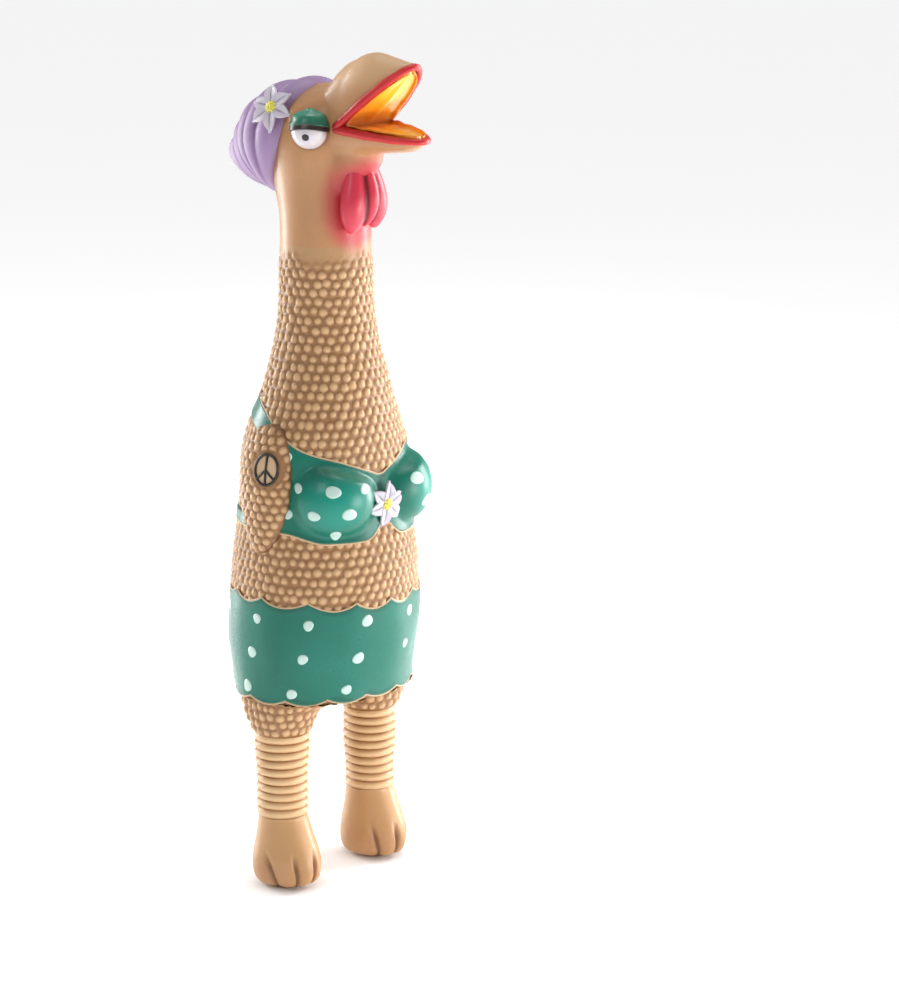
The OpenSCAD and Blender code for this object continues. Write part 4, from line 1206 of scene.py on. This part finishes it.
def headReach(share, key):
    points = [[p, head["wide"] * v if v else bird["neckR"]] for p, v in head[key]]
    return smoothCurve(points, share)


def headRings():
    share, turn = np.meshgrid(np.linspace(-0.17, 0.81, 90), turnsOf(120), indexing="ij")
    deep = np.where(np.cos(turn) > 0, headReach(share, "front"), headReach(share, "back"))
    side = headReach(share, "side")
    return np.stack([side * np.sin(turn), forward(head["axis"]) - deep * np.cos(turn), level(share)], axis=-1)


def tipRound(t):
    t = np.clip(t, 0, 1)
    return mouth["half"] * np.sqrt(np.maximum(0, 1 - t**2.2)) * (1 - 0.1 * t)


def beakRings(tip, slope, heights, sign, grow=0.0):
    rings = []
    for t in -0.45 + 1.446 * np.sin(np.linspace(0, math.pi / 2, 44)):
        f = mouth["cornerF"] + (tip - mouth["cornerF"]) * t
        line = mouth["cornerZ"] + slope * max(0.0, f - mouth["cornerF"])
        half = max(float(tipRound(t)), 0.8) + grow
        height = float(smoothCurve(heights, t)) + grow
        arc = np.linspace(0, math.pi, 40)
        flat = np.linspace(math.pi, 0, 14)[1:-1]
        x = np.concatenate([half * np.cos(arc), half * np.cos(flat)])
        z = np.concatenate([sign * height * np.sin(arc) ** 0.92, np.zeros(len(flat))])
        rings.append(np.stack([x, np.full(len(x), forward(f)), line + z], axis=-1))
    return np.array(rings)


browPath = [[-15, forward(6), level(0.6)], [0, forward(20), level(0.66)], [15, forward(6), level(0.6)]]
skullParts = [
    loftPiece("skull", headRings()),
    loftPiece("upper", beakRings(mouth["upperTip"], mouth["roof"], mouth["rise"], 1)),
    loftPiece("lower", beakRings(mouth["lowerTip"], mouth["floor"], mouth["drop"], -1)),
    blobPiece("brow", browPath, [10, 14, 10], 24),
    blobPiece("chin", [[0, forward(10), level(0.24)], [0, forward(26), level(0.42)]], [17, 12], 28),
]
headSkin = fused("headSkin", skullParts, head["voxel"], 26)


def cutBelow(piece, height):
    tool = bmesh.new()
    tool.from_mesh(piece.data)
    plane = (0, 0, height / metre)
    everything = tool.verts[:] + tool.edges[:] + tool.faces[:]
    bmesh.ops.bisect_plane(tool, geom=everything, plane_co=plane, plane_no=(0, 0, 1), clear_inner=True)
    tool.to_mesh(piece.data)
    tool.free()
    piece.data.update()


cutBelow(headSkin, bird["throatTop"])
points = pointsOf(headSkin)
around = np.arctan2(points[:, 0], -(points[:, 1] - trunkAxis(points[:, 2])))
exact = trunkPoint(points[:, 2], around)
settle = (1 - ease((points[:, 2] - bird["throatTop"]) / 9.0))[:, None]
points = points * (1 - settle) + exact * settle
setPoints(headSkin, points)


def bandEdge(z):
    # how far forward the front edge of the turban is at a level
    line = np.array([[0.05, -17], [0.12, -15], [0.3, -9], [0.5, -4], [0.7, -1], [1, 4]])
    return np.interp((z - bird["jaw"]) / headHeight, line[:, 0], line[:, 1])


eye = {
    "x": midOf("eyeball_right")[0] * -1,
    "y": midOf("eyeball_right")[1],
    "z": midOf("eyeball_right")[2],
    "r": (highOf("eyeball_left")[0] - lowOf("eyeball_left")[0]) / 2,
}
fromBand = (forward(bandEdge(points[:, 2])) - points[:, 1])
bandShade = np.exp(-((fromBand - 0.5) / 1.8) ** 2) * (points[:, 2] > level(0.1))
sideways = np.abs(points[:, 0]) - eye["x"]
fromEye = np.sqrt(sideways**2 + (points[:, 1] - eye["y"]) ** 2 + (points[:, 2] - eye["z"]) ** 2)
eyeShade = ease((eye["r"] + 2.0 - fromEye) / 2.4)
# painted shade under the turban's front edge and round the eyes, and a painted highlight towards the top of the head
mark(headSkin, "painted_shade", np.clip(0.7 * bandShade + 0.55 * eyeShade, 0, 1))
mark(headSkin, "painted_highlight", ease((points[:, 2] - level(0.7)) / 24) * 0.7)
mark(headSkin, "blush", blushAt(points))
place(headSkin, "head", "latex_skin", smoothLatex, ["head_skin", "upper_beak", "lower_beak"])
print("head made")


# Lips and the inside of the mouth
def lipPath(tip, slope, count=120):
    a = np.linspace(-math.pi / 2, math.pi / 2, count)
    t = np.cos(a)
    x = np.sign(a) * tipRound(t)
    f = mouth["cornerF"] + (tip - mouth["cornerF"]) * t
    return np.stack([x, forward(f), mouth["cornerZ"] + slope * (f - mouth["cornerF"])], axis=-1), t


def lipPiece(name, tip, slope, sign):
    path, t = lipPath(tip, slope)
    radii = mouth["lip"] * (1.12 - 0.34 * t + 0.05 * np.sin(t * 19))
    route = path * np.array([1.035, 1.0, 1.0]) + np.array([0, -0.3, sign * 0.3])
    rings = tubeRings(route, radii, 22, flat=0.86, up=(0, -math.sin(math.atan(slope)), math.cos(math.atan(slope))))
    return loftPiece(name, rings)


upperLip = lipPiece("upperLip", mouth["upperTip"], mouth["roof"], 1)
lowerLip = lipPiece("lowerLip", mouth["lowerTip"], mouth["floor"], -1)
for lip, node in ((upperLip, "upper_lip"), (lowerLip, "lower_lip")):
    at = pointsOf(lip)
    # painted shade on the sides towards the corner of the mouth and a painted highlight towards the tip
    mark(lip, "painted_shade", 0.6 * ease((np.abs(at[:, 0]) - 13.6) / 3) * ease((at[:, 1] - forward(33)) / 6))
    mark(lip, "painted_highlight", 0.6 * ease((at[:, 1] * -1 - 30) / 26))
    place(lip, "head", "painted_red", redPaint, [node])

# the lining runs from the tip of the roof, round the back of the mouth, to the tip of the floor
lining = {"rows": 170, "columns": 84, "deep": 4.6, "rim": 1.9}


def liningMesh():
    u, v = np.meshgrid(np.linspace(-1, 1, lining["rows"]), np.linspace(-1, 1, lining["columns"]), indexing="ij")
    t = np.abs(u) ** 1.15
    upper = u > 0
    tip = np.where(upper, mouth["upperTip"], mouth["lowerTip"]) - 1.2
    slope = np.where(upper, mouth["roof"], mouth["floor"])
    f = mouth["cornerF"] + (tip - mouth["cornerF"]) * t
    line = mouth["cornerZ"] + slope * (f - mouth["cornerF"])
    half = tipRound(t) + 0.5 - 1.4 * np.exp(-((t / 0.1) ** 2))
    inward = np.where(upper, -1.0, 1.0)
    # the corner of the mouth goes deeper in the middle, and each wall swells a little
    back = -lining["deep"] * np.exp(-((t / 0.13) ** 2))
    swell = 0.5 + 0.9 * (1 - v**2) ** 0.5 * np.sin(math.pi * np.clip(t, 0, 1)) ** 0.8
    ridge = 1.1 * np.exp(-((v / 0.16) ** 2)) * np.sin(math.pi * np.clip(t, 0, 1)) * np.where(upper, 1.0, -0.8)
    fold = 0.55 * np.sin(t * 24 + 1.5 * v**2) * np.exp(-((t - 0.25) / 0.3) ** 2)
    rim = lining["rim"] * ease((np.abs(v) - 0.78) / 0.22) * ease(t / 0.12)
    height = (swell + ridge + fold * 0.6) * ease(t / 0.05) + rim
    points = np.stack([half * v, forward(f - back), line + inward * height], axis=-1)
    piece = makePiece("mouthLining", points.reshape(-1, 3), gridFaces(lining["rows"], lining["columns"], False))
    # painted shade deep in the corner, in the folds and along the side edges, and a painted highlight down the
    # middle of each wall
    cornerShade = 0.95 * np.exp(-((t / 0.16) ** 2))
    edges = 0.45 * ease((np.abs(v) - 0.8) / 0.2) * (t < 0.8)
    mark(piece, "painted_shade", np.clip(cornerShade + 0.5 * ease(fold - 0.1) + edges, 0, 1))
    mark(piece, "painted_highlight", np.clip(ease((t - 0.25) / 0.4) * (1 - v**2), 0, 1))
    return piece


mouthLining = liningMesh()
thicken = mouthLining.modifiers.new("thicken", "SOLIDIFY")
thicken.thickness = 0.0006
thicken.offset = 0
mouthLining = finished(mouthLining)
place(mouthLining, "head", "painted_orange", orangePaint, ["mouth_lining"])


# Wattle
def cavity(piece, steps=10):
    # how far each point lies in a hollow, in millimetres, by comparing it with its smoothed neighbours
    mesh = piece.data
    edges = np.zeros(len(mesh.edges) * 2, np.int64)
    mesh.edges.foreach_get("vertices", edges)
    edges = edges.reshape(-1, 2)
    normals = np.zeros(len(mesh.vertices) * 3, np.float32)
    mesh.vertices.foreach_get("normal", normals)
    start = pointsOf(piece)
    moved = start.copy()
    counts = np.maximum(np.bincount(edges.ravel(), minlength=len(start)), 1)[:, None]
    for _ in range(steps):
        total = np.zeros_like(moved)
        for axis in range(3):
            total[:, axis] += np.bincount(edges[:, 0], moved[edges[:, 1], axis], len(start))
            total[:, axis] += np.bincount(edges[:, 1], moved[edges[:, 0], axis], len(start))
        moved = total / counts
    return ((moved - start) * normals.reshape(-1, 3)).sum(axis=1)


def shadeByShape(piece, scale, steps=10):
    # painted shade in the hollows and a painted highlight on the bulges
    hollow = cavity(piece, steps)
    mark(piece, "painted_shade", np.clip(hollow / scale, 0, 1))
    mark(piece, "painted_highlight", np.clip(-hollow / scale, 0, 1))


wattleLow, wattleHigh = lowOf("wattle"), highOf("wattle")
wattleTop = wattleHigh[2] + 5.0
wattleTall = wattleTop - wattleLow[2]
skinFront = forward(bird["neckAxis"] + bird["neckR"])


def lobe(x, lean, width, deep, drop, reach):
    # a hanging leaf: narrow at its root, widest low down
    share = np.linspace(0, 1, 40)
    belly = np.sin(math.pi * np.clip(share * 0.92 + 0.04, 0, 1) ** 1.5) ** 0.8
    wide = width * (0.42 + 0.58 * belly) * np.sqrt(np.clip(1.02 - share**8, 0, 1))
    thick = deep * (0.55 + 0.45 * np.sin(math.pi * share**1.3)) * np.sqrt(np.clip(1.02 - share**9, 0, 1))
    rings = []
    for s, w, d in zip(share, wide, thick):
        a = turnsOf(40)
        bow = reach * math.sin(math.pi * min(1, s * 0.8))
        centre = np.array([x + lean * s, skinFront - 1.5 - bow, wattleTop - drop * s])
        rings.append(centre + np.stack([w * np.cos(a), -d * np.sin(a), 0 * a], axis=-1))
    return np.array(rings)


wattleParts = [
    loftPiece("lobe", lobe(-3.6, -4.2, 8.0, 6.0, wattleTall, 2.4)),
    loftPiece("lobe", lobe(3.6, 4.2, 8.0, 6.0, wattleTall - 1.5, 2.4)),
    loftPiece("lobe", lobe(-0.2, 0.4, 4.6, 7.6, wattleTall - 3.0, 3.6)),
]
wattle = fused("wattle", wattleParts, 0.55, 7)
at = pointsOf(wattle)
shadeByShape(wattle, 0.16, 14)
place(wattle, "head", "painted_red", wattlePaint, ["wattle"])
print("mouth and wattle made")

# Eyes
gaze = {"turn": math.radians(58), "drop": math.radians(16)}
lid = {"thick": 1.5, "tilt": math.radians(5)}


def ballPoint(side, radius, a, b):
    # a runs round the upright axis from the front, b is the height above the middle
    return np.stack([
        side * (eye["x"] + radius * np.cos(b) * np.sin(a)),
        eye["y"] - radius * np.cos(b) * np.cos(a),
        eye["z"] + radius * np.sin(b),
    ], axis=-1)


def faceOut(piece):
    tool = bmesh.new()
    tool.from_mesh(piece.data)
    bmesh.ops.recalc_face_normals(tool, faces=tool.faces)
    tool.to_mesh(piece.data)
    tool.free()
    return piece


for side, label in ((-1, "right"), (1, "left")):
    heights = np.linspace(-math.pi / 2 + 0.01, math.pi / 2 - 0.01, 60)
    b, a = np.meshgrid(heights, turnsOf(120), indexing="ij")
    ball = faceOut(loftPiece("eyeball" + label.capitalize(), ballPoint(side, eye["r"], a, b)))
    at = pointsOf(ball)
    looking = np.array([side * math.sin(gaze["turn"]), -math.cos(gaze["turn"]), 0]) * math.cos(gaze["drop"])
    looking = looking + np.array([0, 0, -math.sin(gaze["drop"])])
    centre = np.array([side * eye["x"], eye["y"], eye["z"]])
    facing = ((at - centre) @ looking) / eye["r"]
    mark(ball, "blush", 0.75 * ease((0.42 - facing) / 0.4))
    place(ball, "head", "painted_white", whitePaint, ["eyeball_" + label])

    # the pupil is a raised disc in a thin grey ring, both lying on the ball
    across = np.cross(looking, (0, 0, 1))
    across /= np.linalg.norm(across)
    upward = np.cross(across, looking)

    def discPoints(inner, outer, out, rings=10):
        turns = turnsOf(48)
        share, angle = np.meshgrid(np.linspace(inner, outer, rings), turns, indexing="ij")
        lift = eye["r"] + out * np.sqrt(np.clip(1 - ((share - inner) / (outer - inner)) ** 4, 0, 1))
        spoke = across * np.cos(angle)[..., None] + upward * np.sin(angle)[..., None]
        ray = looking * np.cos(share)[..., None] + spoke * np.sin(share)[..., None]
        return centre + ray * (lift - 0.03)[..., None], rings

    discAt, rings = discPoints(0.0, 0.2, 0.35)
    pupil = makePiece("pupil" + label.capitalize(), discAt.reshape(-1, 3), gridFaces(rings, 48, True))
    place(faceOut(pupil), "head", "painted_dark", darkPaint, ["pupil_" + label])
    discAt, rings = discPoints(0.2, 0.31, 0.22)
    iris = makePiece("iris" + label.capitalize(), discAt.reshape(-1, 3), gridFaces(rings, 48, True))
    place(faceOut(iris), "head", "painted_white", petalPaint)

    # the lid is a thick shell over the top of the ball, with a black lash line under its edge
    def lidShell(name, lowAngle, highAngle, inner, outer, lump):
        rows, columns = 46, 150
        t, a = np.meshgrid(np.linspace(0, 1, rows), turnsOf(columns), indexing="ij")
        start = lowAngle + lid["tilt"] * np.cos(a - gaze["turn"]) + 0.07 * np.cos(2 * (a - gaze["turn"]))
        b = start + (highAngle - start) * t
        edge = np.sqrt(np.clip(1 - (1 - np.clip(t / 0.12, 0, 1)) ** 2, 0, 1))
        fold = lump * (0.5 * np.sin(b * 9 + 0.6) + 0.35 * np.sin(a * 4 + b * 5))
        outside = ballPoint(side, inner + (outer - inner) * edge + fold * ease(t * 4), a, b)
        inside = ballPoint(side, inner, a[:2], b[:2])[::-1]
        both = np.concatenate([inside[:1], outside])
        shell = makePiece(name, both.reshape(-1, 3), gridFaces(rows + 1, columns, True))
        # painted shade on the hidden inner row, under the lid's edge and in its folds, and a painted highlight on
        # its upper part
        hollow = 0.55 * (1 - ease(t * 3.0)) + 0.5 * ease(-fold * 2)
        mark(shell, "painted_shade", np.concatenate([np.ones(columns), hollow.ravel()]))
        mark(shell, "painted_highlight", np.concatenate([np.zeros(columns), (ease((t - 0.2) * 2) * 0.7).ravel()]))
        return faceOut(shell)

    lidPiece = lidShell("eyelid" + label.capitalize(), 0.2, 1.5, eye["r"] + 0.1, eye["r"] + lid["thick"], 0.45)
    place(lidPiece, "head", "painted_green", greenPaint, ["eyelid_" + label])
    lash = lidShell("lash" + label.capitalize(), 0.0, 0.5, eye["r"] + 0.05, eye["r"] + lid["thick"] * 0.72, 0.0)
    place(lash, "head", "painted_dark", darkPaint)
print("eyes made")

# Turban
turban = {
    "knot": [0, highOf("turban_cap")[1] - 9.0, lowOf("turban_cap")[2] + 3.5],
    "back": highOf("turban_rolls")[1],
    "top": highOf("turban_rolls")[2],
    "voxel": 0.62,
}
turban["folds"] = [
    # y and z of the fold's top, half width, radius at the top, radius at the knot, flatness
    [7.5, turban["top"] - 5.6, 23.0, 8.3, 3.4],
    [23.0, turban["top"] - 7.6, 23.0, 7.7, 3.2],
    [37.0, turban["top"] - 14.5, 19.0, 7.6, 3.0],
    [49.5, turban["top"] - 25.0, 13.0, 7.4, 2.9],
    [turban["back"] - 6.6, turban["top"] - 37.0, 5.6, 6.8, 2.8],
]


def foldPiece(y, z, halfWide, thick, thin):
    a = turnsOf(160)
    knot = np.array(turban["knot"])
    top = np.array([0, y, z])
    middle, reach = (knot + top) / 2, (top - knot) / 2
    sideways = halfWide * np.cos(a) * (1 + 0.1 * np.sin(a))
    path = middle + reach * np.sin(a)[:, None] + np.stack([sideways, 0 * a, 0 * a], axis=-1)
    radii = thin + (thick - thin) * ease((np.sin(a) + 1.0) / 1.25)
    ahead = np.roll(path, -1, axis=0) - np.roll(path, 1, axis=0)
    ahead /= np.linalg.norm(ahead, axis=1, keepdims=True)
    outward = path - middle
    outward -= (outward * ahead).sum(axis=1, keepdims=True) * ahead
    outward /= np.linalg.norm(outward, axis=1, keepdims=True)
    across = np.cross(ahead, outward)
    b = turnsOf(28)
    ring = outward[:, None, :] * np.cos(b)[None, :, None] * 0.72 + across[:, None, :] * np.sin(b)[None, :, None]
    points = path[:, None, :] + radii[:, None, None] * ring
    faces = []
    for i in range(160):
        for j in range(28):
            p, q = i * 28 + j, i * 28 + (j + 1) % 28
            r, s = ((i + 1) % 160) * 28 + (j + 1) % 28, ((i + 1) % 160) * 28 + j
            faces.append([p, s, r, q])
    return faceOut(makePiece("fold", points.reshape(-1, 3), faces))


turbanParts = [foldPiece(*fold) for fold in turban["folds"]]
heights = np.linspace(-math.pi / 2 + 0.01, math.pi / 2 - 0.01, 40)
b, a = np.meshgrid(heights, turnsOf(60), indexing="ij")
coreHeight = turban["top"] - 34 + 21 * np.sin(b)
core = np.stack([19 * np.cos(b) * np.sin(a), 33 - 25 * np.cos(b) * np.cos(a), coreHeight], axis=-1)
turbanParts.append(faceOut(loftPiece("core", core)))
turbanPiece = fused("turban", turbanParts, turban["voxel"], 5)
shadeByShape(turbanPiece, 0.42, 26)
place(turbanPiece, "head", "painted_lilac", lilacPaint, ["turban_cap", "turban_rolls"])
print("turban made")


# Flowers
flower = {"long": 10.6, "wide": 3.7, "thick": 1.1, "heart": 3.3, "studs": 19}


def petalGrid(number, seed):
    rows, columns = 30, 17
    u, v = np.meshgrid(np.linspace(0, 1, rows), np.linspace(-1, 1, columns), indexing="ij")
    long = flower["long"] * (0.94 + 0.14 * scatter(number, 1.0, seed))
    half = flower["wide"] * (0.3 + 0.7 * np.sin(math.pi * np.clip(u, 0, 1) ** 0.75) ** 0.75) * (1 - u**7) + 0.05
    bend = (scatter(number, 2.0, seed) - 0.5) * 1.6 * u**2
    groove = -0.55 * np.exp(-((v / 0.2) ** 2)) * np.sin(math.pi * np.clip(u, 0, 1)) ** 0.6
    bow = np.sin(math.pi * u)
    cup = 0.9 * np.abs(v) ** 2 * bow + 0.5 * bow - 1.0 * u**3 + 0.5 * scatter(number, 3.0, seed)
    x = 1.2 + long * u
    y = half * v + bend
    z = cup + groove
    turn = number * math.pi / 3 + (scatter(number, 4.0, seed) - 0.5) * 0.22
    spun = np.stack([x * math.cos(turn) - y * math.sin(turn), x * math.sin(turn) + y * math.cos(turn), z], axis=-1)
    return spun, np.clip(-groove * 1.6, 0, 1), gridFaces(rows, columns, False)


def toPlace(local, centre, outward, spin):
    outward = np.asarray(outward, float) / np.linalg.norm(outward)
    side = np.cross((0, 0, 1), outward)
    side /= np.linalg.norm(side)
    rise = np.cross(outward, side)
    c, s = math.cos(spin), math.sin(spin)
    turned = local[..., :1] * (side * c + rise * s), local[..., 1:2] * (rise * c - side * s)
    return centre + turned[0] + turned[1] + local[..., 2:] * outward


def surfaceUnder(piece, centre, outward):
    # where a line from outside meets a piece
    graph = bpy.context.evaluated_depsgraph_get()
    start = Vector((np.asarray(centre) + np.asarray(outward) * 40) / metre)
    hit, spot = piece.evaluated_get(graph).ray_cast(start, Vector(-np.asarray(outward)))[:2]
    return np.array(spot) * metre if hit else np.asarray(centre)


def makeFlower(name, ground, outward, spin, seed, body, nodes):
    outward = np.array(outward) / np.linalg.norm(outward)
    centre = surfaceUnder(ground, midOf(nodes[1]), outward) + outward * 1.4
    points, faces, grooves = [], [], []
    for number in range(6):
        grid, groove, quads = petalGrid(number, seed)
        first = sum(len(p) for p in points)
        points.append(toPlace(grid, centre, outward, spin).reshape(-1, 3))
        grooves.append(groove.ravel())
        faces += [[k + first for k in f] for f in quads]
    petals = makePiece(name + "Petals", np.vstack(points), faces)
    # painted shade in the petals' grooves
    mark(petals, "painted_shade", np.concatenate(grooves))
    solid = petals.modifiers.new("thick", "SOLIDIFY")
    solid.thickness = flower["thick"] / metre
    solid.offset = -1
    petals = finished(petals)
    place(petals, body, "painted_lilac" if "turban" in name else "painted_white", petalPaint, [nodes[0]])

    rows, columns = 30, 72
    heights = np.linspace(-0.25, math.pi / 2 - 0.01, rows)
    b, a = np.meshgrid(heights, turnsOf(columns), indexing="ij")
    reach = flower["heart"] * np.cos(b)
    local = np.stack([reach * np.cos(a), reach * np.sin(a), flower["heart"] * 0.72 * np.sin(b) + 0.5], axis=-1)
    bumps = np.zeros(b.shape)
    for k in range(flower["studs"]):
        r = flower["heart"] * 0.95 * math.sqrt((k + 0.4) / flower["studs"])
        g = k * 2.39996
        away = np.hypot(local[..., 0] - r * math.cos(g), local[..., 1] - r * math.sin(g))
        bumps = np.maximum(bumps, np.sqrt(np.clip(1 - (away / 0.72) ** 2, 0, 1)))
    local[..., 2] += 0.32 * bumps
    heart = loftPiece(name + "Heart", toPlace(local, centre, outward, spin))
    # painted shade between the bumps and a painted highlight on them
    mark(heart, "painted_shade", np.append((0.8 * (1 - bumps)).ravel(), [0, 0]))
    mark(heart, "painted_highlight", np.append(bumps.ravel(), [0, 0]))
    place(faceOut(heart), body, "painted_yellow", yellowPaint, [nodes[1]])


bikiniFlowerOut = (0, -math.sin(math.radians(96)), math.cos(math.radians(96)))
turbanFlowerOut = (-0.9, -0.16, 0.41)
bikiniFlowerNodes = ["bikini_petals", "bikini_flower_heart"]
turbanFlowerNodes = ["turban_petals", "turban_flower_heart"]
makeFlower("bikiniFlower", bikiniTop, bikiniFlowerOut, 0.3, 4, "torso", bikiniFlowerNodes)
makeFlower("turbanFlower", turbanPiece, turbanFlowerOut, 0.75, 9, "head", turbanFlowerNodes)
print("flowers made")

# The squawker keeps its frame solids
for node, finish in (
    ("squawker_collar", studdedLatex),
    ("squawker_barrel", squawkerWhite),
    ("squawker_grille", squawkerWhite),
    ("squawker_reed_seat", squawkerInside),
    ("squawker_wedge", squawkerInside),
    ("squawker_reed", brass),
):
    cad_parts[node].data.materials.clear()
    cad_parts[node].data.materials.append(finish)

# Floor, light and camera
floorSize = 60.0
bpy.ops.mesh.primitive_plane_add(size=floorSize, location=(0, 0, 0))
floor = bpy.context.object
floor.name = "floor"
floorMade = bpy.data.materials.new("paleFloor")
floorMade.use_nodes = True
floorTree = floorMade.node_tree
floorShader = floorTree.nodes["Principled BSDF"]
floorTone = mixColours(floorTree, noiseNode(floorTree, 6.0, 3.0), (0.88, 0.88, 0.89, 1), (0.9, 0.9, 0.91, 1))
floorTree.links.new(floorTone, floorShader.inputs["Base Color"])
floorShader.inputs["Roughness"].default_value = 0.5
# the floor glows a little to stay evenly white, and less where something stands close over it, which paints a
# contact shadow round the feet
contactShadowAO = addNode(floorTree, "ShaderNodeAmbientOcclusion", {"Distance": 0.07}, samples=8)
unshadowedShare = mathNode(floorTree, "POWER", contactShadowAO.outputs["AO"], 1.6)
floorTree.links.new(mathNode(floorTree, "MULTIPLY", unshadowedShare, 0.6), floorShader.inputs["Emission Strength"])
floorShader.inputs["Emission Color"].default_value = (1, 1, 1, 1)
floor.data.materials.append(floorMade)

world = bpy.data.worlds.new("studio")
bpy.context.scene.world = world
world.use_nodes = True
world.node_tree.nodes["Background"].inputs["Color"].default_value = (1, 1, 1, 1)
worldTree = world.node_tree
seenDirectly = addNode(worldTree, "ShaderNodeLightPath").outputs["Is Camera Ray"]
worldPower = mathNode(worldTree, "ADD", mathNode(worldTree, "MULTIPLY", seenDirectly, 0.66), 0.34)
worldTree.links.new(worldPower, worldTree.nodes["Background"].inputs["Strength"])
bpy.context.scene.view_settings.view_transform = "Standard"

viewFrom = {
    "azimuth": math.radians(-47),
    "elevation": math.radians(13.5),
    "distance": 1.5,
    "aside": 0.0622,
    "height": 0.192,
    "lens": 108.9,
}
viewRight = Vector((math.cos(viewFrom["azimuth"]), math.sin(viewFrom["azimuth"]), 0))
viewBack = Vector((
    math.sin(viewFrom["azimuth"]) * math.cos(viewFrom["elevation"]),
    -math.cos(viewFrom["azimuth"]) * math.cos(viewFrom["elevation"]),
    math.sin(viewFrom["elevation"]),
))


def addArea(name, aside, ahead, height, size, power, target):
    # a soft box placed by how far aside and towards the viewer it stands
    data = bpy.data.lights.new(name, "AREA")
    data.shape = "RECTANGLE"
    data.size, data.size_y = size
    data.energy = power
    lamp = bpy.data.objects.new(name, data)
    flat = Vector((viewBack.x, viewBack.y, 0)).normalized()
    lamp.location = viewRight * aside + flat * ahead + Vector((0, 0, height))
    aim = Vector(target) - lamp.location
    lamp.rotation_euler = aim.to_track_quat("-Z", "Y").to_euler()
    bpy.context.scene.collection.objects.link(lamp)


addArea("keyLight", -0.7, 1.2, 1.2, (0.6, 0.6), 5.0, (0, 0, 0.22))
addArea("topLight", 0.1, -0.25, 1.5, (0.7, 0.7), 7.0, (0, 0, 0.3))
addArea("rimLeft", -0.95, -0.6, 0.35, (0.35, 1.0), 13, (0, 0, 0.2))
addArea("rimRight", 0.95, -0.5, 0.4, (0.4, 1.0), 17, (0, 0, 0.2))
addArea("lowBox", 0.85, 0.3, 0.1, (0.4, 0.35), 5.0, (0, 0, 0.13))

aim = Vector((0, bird["spineY"] / metre, viewFrom["height"])) + viewRight * viewFrom["aside"]
cameraData = bpy.data.cameras.new("camera")
cameraData.lens = viewFrom["lens"]
camera = bpy.data.objects.new("camera", cameraData)
camera.location = aim + viewBack * viewFrom["distance"]
camera.rotation_euler = (-viewBack).to_track_quat("-Z", "Y").to_euler()
bpy.context.scene.collection.objects.link(camera)
bpy.context.scene.camera = camera
